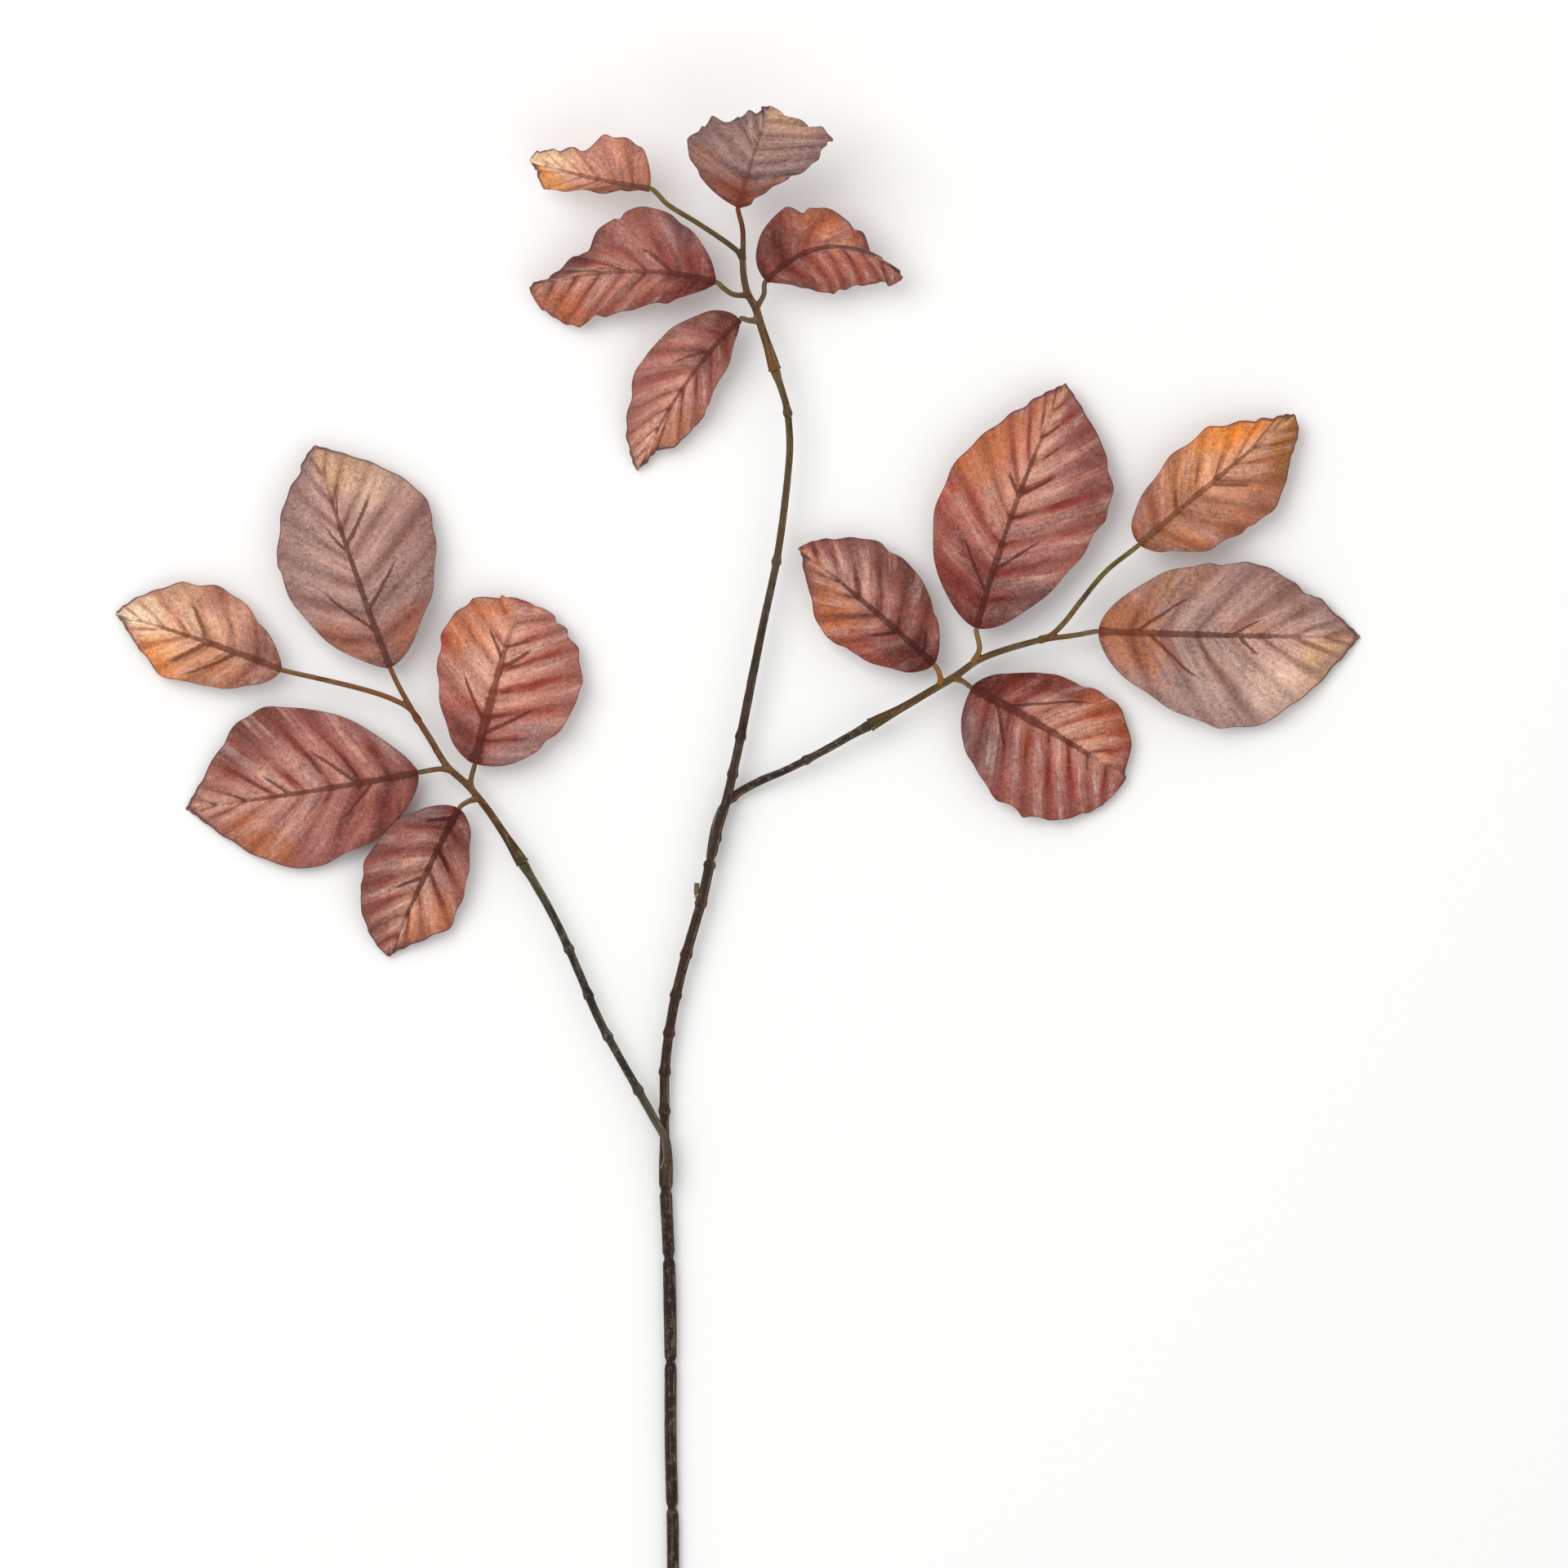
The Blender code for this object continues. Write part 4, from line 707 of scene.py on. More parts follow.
def ruffles(leaf, e, share, hand):
    height, waves, phase = leaf["ruffle"]
    turns = waves * e + phase + leafForm["ruffleShift"] * hand
    return height * share**3 * np.sin(math.tau * turns) * fading(e)


def bladePoints(leaf, a, share, hand, folds):
    # The blade's mean surface. A row follows a side vein, from the rib at a to the edge at e, and
    # passes the rib's length at s. share is 0 beside the rib and 1 at the edge.
    side = leaf["left"] if hand > 0 else leaf["right"]
    edgeRise, cup = leaf["lift"][0 if hand > 0 else 1]
    e = np.minimum(a + leafForm["veinLean"] * np.sin(np.pi * a), 1.0)
    s = a + (e - a) * share ** leafForm["veinCurve"]
    rib = fromBaseToTip("rib", a)
    wave = leafForm["edgeWave"] * np.cos(math.tau * leaf["veins"] * a) * fading(a)
    reach = halfWidths(side, e) + wave + folds["edge"](e, hand)
    reach = reach + edgeHumps(leaf, "edges", hand, e)
    least = rib + leafForm["leastBlade"] + leafForm["collar"] * (1 - a) ** 2
    reach = np.maximum(reach, least)
    across = rib + (reach - rib) * share
    near = np.minimum(s + leafForm["stride"], 1)
    ahead = ribPoints(leaf, near) - ribPoints(leaf, near - 2 * leafForm["stride"])
    ahead /= np.hypot(ahead[..., 0], ahead[..., 1])[..., None]
    aside = np.stack((-ahead[..., 1], ahead[..., 0], 0 * s), -1) * hand
    out = across / side[0]
    lift = (edgeRise * out + cup * out**2 + pleats(leaf, a, share, hand, folds)
            + ruffles(leaf, e, share, hand) + folds["crinkle"](s, share * hand))
    swing = edgeHumps(leaf, "swings", hand, e) * share**3
    place = (ribPoints(leaf, s) + aside * across[..., None] + up * lift[..., None]
             + ahead * swing[..., None])
    return place, s, across * hand, reach - across


def leafFolds(leaf, seed):
    # Seeded unevenness: the depth of each pleat, the edge's line, and small creases.
    dice = np.random.default_rng(seed)

    def draws(key):
        count, *limits = foldForm[key]
        return [[dice.uniform(*limit) for limit in limits] for _ in range(count)]

    depths = dice.uniform(*foldForm["pleatDepths"], (2, leaf["veins"] + 3))
    ends = dice.uniform(*foldForm["pleatEnds"], (2, leaf["veins"] + 3))
    edges, waves, creases = draws("edges"), draws("waves"), draws("creases")

    def depth(a, share, hand):
        row = np.clip(a * leaf["veins"] + 0.5, 0, leaf["veins"] + 1)
        low = row.astype(int)
        k = 0 if hand > 0 else 1
        blend = row - low
        base = depths[k][low] * (1 - blend) + depths[k][low + 1] * blend
        end = ends[k][low] * (1 - blend) + ends[k][low + 1] * blend
        return base + end * (share - 0.5)

    def edge(e, hand):
        fromBase, fromTip = foldForm["edgeGrows"]
        line = sum(size * np.sin(rate * e + turn + hand) for rate, turn, size in edges)
        return line * np.clip(fromBase * e, 0, 1) * np.clip(fromTip * (1 - e), 0, 1)

    def crinkle(s, side):
        return np.clip(foldForm["crinkleGrows"] * np.abs(side), 0, 1) * sum(
            size * np.sin(along * s + over * side + turn)
            for along, over, turn, size in waves + creases)

    return {"depth": depth, "edge": edge, "crinkle": crinkle}


def leafGrid(leaf, folds):
    # Rows from base to tip, columns from the right edge over the rib to the left edge.
    count = leaf["veins"] * leafForm["rowsPerVein"]
    baseEnd, baseCount = leafForm["baseRows"]
    rows = np.unique(np.round(np.concatenate((
        np.linspace(0, 1, count + 1), np.linspace(0, baseEnd, baseCount),
        leafForm["tipRows"])), 6))
    t = np.linspace(0, 1, leafForm["columns"])
    shares = t - leafForm["crowding"] * np.sin(math.tau * t) / math.tau
    a, share = np.meshgrid(rows, shares, indexing="ij")
    right = bladePoints(leaf, a, share, -1, folds)
    left = bladePoints(leaf, a, share, 1, folds)
    middle, rib = ribPoints(leaf, rows), fromBaseToTip("rib", rows)
    ribRise = fromBaseToTip("ribRise", rows)
    points, across = [right[0][:, ::-1]], [right[2][:, ::-1]]
    for part in leafForm["ribColumns"]:
        beside = (right if part < 0 else left)[0][:, 0]
        rise = ribRise * math.cos(part * math.pi / 2) ** leafForm["ribRoundness"]
        point = middle + (beside - middle) * abs(part) + up * rise[:, None]
        points.append(point[:, None])
        across.append((part * rib)[:, None])
    points = np.concatenate(points + [left[0]], axis=1)
    across = np.concatenate(across + [left[2]], axis=1)
    ribWidth = (len(rows), len(leafForm["ribColumns"]))
    farInside = np.full(ribWidth, leafForm["farFromEdge"])
    toEdge = np.concatenate((right[3][:, ::-1], farInside, left[3]), axis=1)
    side = np.concatenate((-share[:, ::-1], np.zeros(ribWidth), share), axis=1)
    along = np.concatenate((right[1][:, ::-1], np.broadcast_to(rows[:, None], ribWidth),
                            left[1]), axis=1)
    row = np.repeat(rows[:, None], points.shape[1], axis=1)
    return points, np.stack((along, side, row), -1), np.stack((across, toEdge, 0 * across), -1)


def gridNormals(points):
    facing = unit(np.cross(np.gradient(points, axis=1), np.gradient(points, axis=0)))
    return facing * np.sign(facing[..., 2:3] + 1e-9)


def leafMesh(name, leaf, folds):
    points, place, reach = leafGrid(leaf, folds)
    off = gridNormals(points) * (leafForm["thickness"] / 2)
    tall, wide = points.shape[:2]
    total = tall * wide
    vertices = np.concatenate(((points + off).reshape(-1, 3), (points - off).reshape(-1, 3)))
    index = np.arange(total).reshape(tall, wide)
    quads = np.stack((index[:-1, :-1], index[:-1, 1:], index[1:, 1:], index[1:, :-1]), -1)
    quads = quads.reshape(-1, 4)
    rim = np.concatenate((index[0, :], index[1:, -1], index[-1, -2::-1], index[-2:0:-1, 0]))
    after = np.roll(rim, -1)
    rimQuads = np.stack((rim, rim + total, after + total, after), -1)
    faces = np.concatenate((quads, (quads + total)[:, ::-1], rimQuads)).tolist()
    mesh = bpy.data.meshes.new(name)
    mesh.from_pydata(toFrame(vertices).tolist(), [], faces)
    storeVectors(mesh, "leafPlace", np.concatenate((place.reshape(-1, 3),) * 2))
    storeVectors(mesh, "leafReach", np.concatenate((reach.reshape(-1, 3),) * 2))
    shape = bmesh.new()
    shape.from_mesh(mesh)
    bmesh.ops.recalc_face_normals(shape, faces=shape.faces)
    shape.to_mesh(mesh)
    shape.free()
    mesh.shade_smooth()
    return mesh


# Leaf cloth: printed and dyed fabric with stained veins, a dark rib and a thin dark edge. Its
# pleats get painted highlights and painted shade, and the cloth beside the rib a painted highlight.
# spotNoise is each noise's scale, detail and roughness. veinNoise is the noise that runs along the
# side veins: its rates over the rows and towards the edge, its shift from leaf to leaf and detail.

clothLook = {
    # Among these colours are painted highlights for the pleats' ridges and beside the rib, and
    # painted crease shade.
    "edge": (92, 66, 70), "creaseShadeTone": (80, 38, 32), "paintedHighlight": (240, 188, 164),
    "paleRidgeHighlight": (216, 188, 188), "speck": (244, 222, 210), "mauve": (182, 150, 156),
    "baseDark": (78, 22, 18), "warmth": (1.07, 0.995, 0.94, 1.0),
    "level": {"threads": 0.8, "brush": 0.9, "blotch": 0.9, "grain": 1.2}, "brightness": 0.97,
    "tintEdge": {"clouds": 1.1, "patches": 0.7, "brush": 1.5}, "tintStart": 1.7, "tintEnd": -0.1,
    "roughness": 0.78, "unevenRoughness": 0.3, "sheen": 0.05, "sheenRoughness": 0.5,
    "specular": 0.12, "leftFromRight": (-0.02, 0.02),
    "weave": {"Scale": 800.0, "Distortion": 1.2, "Detail": 1.0}, "weaveTurn": 0.7,
    "relief": {"warp": 0.18, "weft": 0.18, "grain": 0.9, "blotch": 1.2, "threads": 1.4},
    "bump": (0.6, 0.5),
}
spotNoise = {"clouds": (55.0, 3.0), "patches": (190.0, 3.0), "grain": (1150.0, 2.0, 0.6),
             "blotch": (480.0, 3.0, 0.6)}
veinNoise = {"brush": (1.6, 1.1, 5.3, 2.0), "threads": (7.0, 2.4, 1.3, 3.0),
             "streaks": (0.9, 1.6, 3.7, 1.0), "breaks": (1.1, 3.0, 8.1, 1.0)}
clothMasks = {
    "mauve": ({"patches": 1, "clouds": 0.8, "brush": -0.6}, 0.0, 0.32, 0.0, 0.34),
    # painted highlight on the cloth beside the rib further up
    "furtherUp": ({"along": 1, "clouds": 0.4, "brush": 0.5}, 0.30, 0.58),
    "besideRib": ({"out": 1, "brush": 0.8}, 0.75, 0.15),
    "beforeTip": ({"along": 1}, 1.0, 0.75),
    # stain along the veins in the pleats' valleys: partly dye, partly painted shade
    "vein": ({"fold": 0.7, "brush": 3.0, "threads": 1.8, "patches": 1}, 0.0, 1.1),
    "streaky": ({"streaks": 1}, -0.20, 0.08),
    "insideEdge": ({"out": 1}, 1.05, 0.6),
    # painted shade in the valleys of the pleats
    "valleyShade": ({"fold": 1, "brush": 2.0, "threads": 1.6}, 0.2, 1.3, 0.0, 0.28),
    # painted highlights on the ridges of the pleats, pink in some patches and lilac in others
    "paintedHighlight": ({"fold": -0.8, "brush": -2.0, "threads": 1.5}, 0.1, 1.2),
    "paleRidgeHighlight": ({"patches": 1, "clouds": -1}, -0.2, 0.2),
    "unbroken": ({"breaks": 1}, 0.12, -0.10, 0.14, 0.54),
    "base": ({"along": 1, "out": 0.08, "clouds": 0.3, "brush": 0.25}, 0.44, 0.02),
    "rim": ({"out": 1, "brush": 0.3}, 0.62, 1.05, 0.0, 0.24),
    # painted shade in the creases of the pleats near the rib
    "creaseShade": ({"fold": 1, "threads": 0.3}, 0.74, 1.0),
    "nearRib": ({"out": 1}, 0.85, 0.05),
    "broken": ({"breaks": 1}, -0.06, 0.10, 0.0, 0.75),
    "speck": ({"grain": 1}, 0.06, 0.3, 0.0, 0.10),
    "ribBeforeTip": ({"along": 1, "clouds": 0.15, "blotch": 0.2}, 0.92, 0.62),
    "ribFurtherUp": ({"along": 1, "clouds": 0.6}, 0.08, 0.45),
    "edge": ({"toEdge": 1}, 0.5, 0.12, 0.0, 0.8),
}
ribLine = {
    "atTip": 0.4, "wideningToBase": 1.35, "knotRate": 9.0, "knotShift": 2.1, "knotSize": 1.2,
    "leastKnot": 0.4, "rough": {"grain": 0.7, "threads": 0.5}, "fade": (1.25, 0.66),
    "dark": 0.25, "patchy": (-0.3, 0.3), "leastShown": 0.75,
    "sideWidth": 1.15, "sideTaper": 0.5, "sideRough": {"grain": 1.2, "threads": 0.6},
    "sideFade": (1.3, 0.5), "sideShown": 0.9, "sideStart": (0.0, 0.01), "sideEnd": (1.04, 0.8),
    "rowLength": 0.8,
}


def clothMask(fields, *keys):
    return math.prod(masked(fields, clothMasks[key]) for key in keys)


def clothFields(graph, veins, seed):
    fields = {"spot": graph.spot()}
    names = ("along", "side", "row", "fromRib", "toEdge")
    vectors = ("leafPlace", "leafReach")
    values = [part for name in vectors for part in graph.parts(graph.attribute(name))]
    fields.update(zip(names, values))
    fields["out"] = abs(fields["side"])
    fields["fold"] = (fields["row"] * (math.tau * veins)).cosine()
    for name, settings in spotNoise.items():
        fields[name] = graph.sway(fields["spot"], *settings)
    for name, (overRows, outwards, shift, detail) in veinNoise.items():
        place = graph.joined(fields["row"] * (veins * overRows), fields["side"] * outwards,
                             seed * shift)
        fields[name] = graph.sway(place, 1.0, detail)
    return fields


def tintedCloth(graph, leaf, fields):
    shade = colour(*leaf["cloth"])
    uneven = weighed(fields, clothLook["tintEdge"])
    for tint, s, at, spanAlong, spanAcross, strength in leaf["tints"]:
        far = (((fields["along"] - s) / spanAlong).squared()
               + ((fields["side"] - at) / spanAcross).squared())
        mask = (far + uneven).step(clothLook["tintStart"], clothLook["tintEnd"], 0.0, strength)
        shade = graph.blended(shade, tint, mask)
    return graph.blended(shade, clothLook["mauve"], clothMask(fields, "mauve"))


def veinedCloth(graph, leaf, fields, shade):
    # Stained veins lie in the valleys of the pleats, and fade and break up along the way; the
    # stain is partly dye and partly painted shade in those valleys. Painted shade darkens the
    # valleys and the creases near the rib, and painted highlights lighten the pleats' ridges.
    # The base and the edges are darker, and a painted highlight lightens the cloth beside the
    # rib further up.
    leftSide = fields["side"].step(*clothLook["leftFromRight"])
    stripes, shadow, light = (leftSide * (leaf[key][0] - leaf[key][1]) + leaf[key][1]
                              for key in ("stripes", "shadow", "light"))
    # A painted highlight lightens the cloth beside the rib further up.
    beside = clothMask(fields, "furtherUp", "besideRib", "beforeTip") * light
    shade = graph.blended(shade, clothLook["paintedHighlight"], beside)
    # Vein stain in the pleats' valleys, partly dye and partly painted shade.
    veins = clothMask(fields, "vein", "streaky", "insideEdge") * stripes
    shade = graph.blended(shade, leaf["stripe"], veins)
    # Painted shade darkens the valleys of the pleats.
    shade = graph.blended(shade, clothLook["baseDark"], clothMask(fields, "valleyShade"))
    # Painted highlights on the ridges of the pleats, pink in some patches and lilac in others.
    ridgeHighlight = graph.blended(colour(*clothLook["paintedHighlight"]), clothLook["paleRidgeHighlight"],
                               clothMask(fields, "paleRidgeHighlight"))
    shade = graph.mixed(shade, ridgeHighlight, clothMask(fields, "paintedHighlight", "unbroken") * stripes)
    shade = graph.blended(shade, clothLook["baseDark"], clothMask(fields, "base") * shadow)
    shade = graph.blended(shade, clothLook["baseDark"], clothMask(fields, "rim"))
    # Painted shade darkens the creases of the pleats near the rib.
    creases = clothMask(fields, "creaseShade", "nearRib", "broken") * stripes
    shade = graph.blended(shade, clothLook["creaseShadeTone"], creases)
    level = weighed(fields, clothLook["level"]) + clothLook["brightness"]
    shade = graph.mixed(shade, graph.joined(level, level, level), 1.0, "MULTIPLY")
    return graph.blended(shade, clothLook["speck"], clothMask(fields, "speck"))


def sideRibMask(fields, rib, length):
    hand, start, end, reach = rib
    out = fields["side"] * float(hand)
    off = abs(fields["row"] - (out * ((end - start) / reach) + start)) * (
        ribLine["rowLength"] * length)
    width = ribLine["sideWidth"] - out * (ribLine["sideTaper"] / reach)
    mask = (off / width + weighed(fields, ribLine["sideRough"])).step(*ribLine["sideFade"])
    ends = [reach * part for part in ribLine["sideEnd"]]
    return mask * out.step(*ends) * out.step(*ribLine["sideStart"])


def ribbedCloth(graph, leaf, seed, fields, shade):
    # The moulded ribs behind the cloth show through it.
    baseShade, upperShade, broad, shows = leaf["rib"]
    ribShade = graph.blended(colour(*baseShade), upperShade, clothMask(fields, "ribFurtherUp"))
    ribShade = graph.blended(ribShade, clothLook["baseDark"], ribLine["dark"])
    along = fields["along"]
    knots = graph.noise(graph.joined(along * ribLine["knotRate"], seed * ribLine["knotShift"],
                                     0.0), 1.0, 2.0)
    width = ((1.0 - along) * ribLine["wideningToBase"] + ribLine["atTip"]) * (
        knots * ribLine["knotSize"] + ribLine["leastKnot"]) * broad
    middle = abs(fields["fromRib"]) / width + weighed(fields, ribLine["rough"])
    middle = middle.step(*ribLine["fade"]) * clothMask(fields, "ribBeforeTip")
    shown = fields["patches"].step(*ribLine["patchy"], ribLine["leastShown"] * shows, shows)
    shade = graph.mixed(shade, ribShade, middle * shown)
    length = math.dist(leaf["base"], leaf["tip"])
    masks = [sideRibMask(fields, rib, length) for rib in leaf["sideRibs"]]
    if masks:
        sideRibs = reduce(Socket.largest, masks)
        shade = graph.mixed(shade, ribShade, sideRibs * (ribLine["sideShown"] * shows))
    return shade


def clothRelief(graph, seed, fields):
    # A plain weave, a soft nap and the raised threads of the veins.
    place = graph.node("ShaderNodeMapping", inputs={
        "Vector": fields["spot"], "Rotation": (0, 0, seed * clothLook["weaveTurn"])})
    for name, axis in (("warp", "X"), ("weft", "Y")):
        fields[name] = graph.node("ShaderNodeTexWave", {"bands_direction": axis},
                                  {"Vector": place, **clothLook["weave"]})
    return graph.bump(weighed(fields, clothLook["relief"]), *clothLook["bump"])


def leafCloth(name, leaf, seed):
    finish, graph = newFinish(name)
    fields = clothFields(graph, leaf["veins"], seed)
    shade = tintedCloth(graph, leaf, fields)
    shade = veinedCloth(graph, leaf, fields, shade)
    shade = ribbedCloth(graph, leaf, seed, fields, shade)
    shade = graph.blended(shade, clothLook["edge"], clothMask(fields, "edge"))
    shade = graph.mixed(shade, clothLook["warmth"], 1.0, "MULTIPLY")
    closeFinish(graph, {
        "Base Color": shade,
        "Roughness": fields["blotch"] * clothLook["unevenRoughness"] + clothLook["roughness"],
        "Sheen Weight": clothLook["sheen"], "Sheen Roughness": clothLook["sheenRoughness"],
        "Specular IOR Level": clothLook["specular"],
        "Normal": clothRelief(graph, seed, fields)})
    return finish


# Moulded plastic, for the ribs, stems and twigs. Its shade and its place round the tube (sideways,
# upwards, and the distance along in millimetres) come from the piece itself. Its sides, as seen
# from above, get painted shade on the twigs and ribs and a lighter painted sheen on the stems.

plasticNoise = {"broad": (70.0, 3.0), "grain": (1000.0, 3.0, 0.65), "knots": (330.0, 2.0)}
plasticMasks = {
    "streak": ({"fibres": 1, "knots": 0.5}, 0.02, 0.22, 0.0),
    "shadow": ({"fibres": 1, "broad": 0.6}, -0.02, -0.24, 0.0),
    "fleck": ({"grain": 1, "knots": 0.5, "worn": 0.07}, 0.15, 0.24, 0.0),
    "pit": ({"grain": 1}, -0.08, -0.24, 0.0),
    # painted side shading: shade on the twigs and ribs, a lighter sheen on the stems
    "sides": ({"out": 1, "fibres": 0.4}, 0.66, 0.98, 0.0),
    "seam": ({"broad": 1, "knots": 0.5}, -0.12, 0.12, 0.0),
}
plasticShape = {"fibreNoise": (1.0, 3.0, 0.6), "wornFade": 20.0,
                "seamPlace": 0.58, "seamWidth": (0.16, 0.05), "seamHeight": (0.1, 0.4),
                "relief": {"fibres": 1.2, "grain": 0.7, "seamLine": 0.5},
                "bump": (0.7, 0.6), "specular": 0.12, "coatRoughness": 0.25,
                "rough": {"grain": 0.5, "broad": 0.2}}


def mouldedPlastic(name, look):
    finish, graph = newFinish(name)
    shape, spot = plasticShape, graph.spot()
    aside, above, along = graph.parts(graph.attribute("tubePlace"))
    fields = {key: graph.sway(spot, *settings) for key, settings in plasticNoise.items()}
    fibres = graph.joined(aside * look["fibres"], above * look["fibres"],
                          along * look["fibreLength"])
    fields["fibres"] = graph.sway(fibres, *shape["fibreNoise"])
    fields["out"] = abs(aside)
    fields["worn"] = along.step(look["wornEnd"], look["wornEnd"] - shape["wornFade"])
    shade = graph.attribute("shade", "Color")
    # Last coat: painted shade on the twigs' and ribs' sides, a lighter painted sheen on the stems'.
    for key, tone in (("streak", "light"), ("shadow", "dark"), ("fleck", "light"),
                      ("pit", "dark"), ("sides", "sideShadeAndSheen")):
        shade = graph.blended(shade, look[tone], masked(fields, plasticMasks[key], look[key]))
    onLine = abs(aside - shape["seamPlace"]).step(*shape["seamWidth"])
    onLine = onLine * above.step(*shape["seamHeight"])
    fields["seamLine"] = onLine * masked(fields, plasticMasks["seam"], look["seam"])
    shade = graph.blended(shade, look["seamShade"], fields["seamLine"])
    closeFinish(graph, {
        "Base Color": shade, "Roughness": weighed(fields, shape["rough"]) + look["roughness"],
        "Specular IOR Level": shape["specular"], "Coat Weight": look["coat"],
        "Coat Roughness": shape["coatRoughness"],
        "Normal": graph.bump(weighed(fields, shape["relief"]), *shape["bump"])})
    return finish


# Side colours are painted: a lighter sheen on the stems' sides, shade on twigs' and ribs' sides.
stemLook = {"light": (116, 102, 86), "dark": (24, 15, 10), "streak": 0.45, "shadow": 0.85,
            "fleck": 0.6, "pit": 0.6, "fibres": 2.6, "fibreLength": 0.09, "roughness": 0.48,
            "coat": 0.05, "sides": 0.35, "sideShadeAndSheen": (92, 82, 70), "seam": 0.45,
            "seamShade": (150, 128, 102), "wornEnd": 285.0}
twigLook = {"light": (158, 134, 84), "dark": (54, 36, 22), "streak": 0.4, "shadow": 0.75,
            "fleck": 0.25, "pit": 0.6, "fibres": 2.2, "fibreLength": 0.12, "roughness": 0.45,
            "coat": 0.05, "sides": 0.8, "sideShadeAndSheen": (46, 34, 22), "seam": 0.3,
            "seamShade": (196, 172, 128), "wornEnd": -50.0}
ribLook = {"light": (150, 110, 80), "dark": (60, 36, 28), "streak": 0.3, "shadow": 0.5,
           "fleck": 0.2, "pit": 0.6, "fibres": 2.0, "fibreLength": 0.2, "roughness": 0.45,
           "coat": 0.1, "sides": 0.4, "sideShadeAndSheen": (70, 40, 30), "seam": 0.0,
           "seamShade": (150, 110, 80), "wornEnd": -50.0}


# The plastic ribs on the backs of the leaves

backRibs = {"middleAtBase": 0.85, "middleAtTip": 0.3, "sideAtRoot": 0.5, "sideAtEnd": 0.2,
            "start": 0.012, "end": 0.9, "middleSteps": 60, "sideSteps": 24, "sunk": 0.55,
            "sideSunk": 0.5, "sides": 8, "shade": (112, 66, 46)}


def backRibChains(leaf, folds):
    back = leafForm["thickness"] / 2
    tone = colour(*backRibs["shade"])
    s = np.linspace(backRibs["start"], backRibs["end"], backRibs["middleSteps"])
    radius = np.interp(s, (0, 1), (backRibs["middleAtBase"], backRibs["middleAtTip"]))
    middle = ribPoints(leaf, s) - up * (back + radius * backRibs["sunk"])[:, None]
    chains = [(middle, radius, np.tile(tone, (len(s), 1)))]
    for hand, start, end, reach in leaf["sideRibs"]:
        share = np.linspace(0.0, reach, backRibs["sideSteps"])
        row = start + (end - start) * share / reach
        radius = np.interp(share, (0, reach), (backRibs["sideAtRoot"], backRibs["sideAtEnd"]))
        points = bladePoints(leaf, row, share, hand, folds)[0]
        points = points - up * (back + radius * backRibs["sideSunk"])[:, None]
        chains.append((points, radius, np.tile(tone, (len(share), 1))))
    return chains


ribPlastic = mouldedPlastic("rib_plastic", ribLook)
for number, (name, leaf) in enumerate(leaves.items()):
    folds = leafFolds(leaf, leafForm["seed"] + number)
    mesh = leafMesh(name + "_cloth", leaf, folds)
    mesh.materials.append(leafCloth(name + "_cloth", leaf, number + 1.0))
    addPiece(name + "_cloth", mesh, name, 55)
    chains = backRibChains(leaf, folds)
    ribs = placeOnChains(tubesOf(chains, ribPlastic, backRibs["sides"]), chains)
    addPiece(name + "_ribs", ribs, name)
print("leaves and their ribs are made")

# Stems: each point is x, y, z and the radius there. The skin ends and the twig starts at mouth.
# Rings are raised joints, pinches are narrow waists, and tones are colours at heights up the stem.

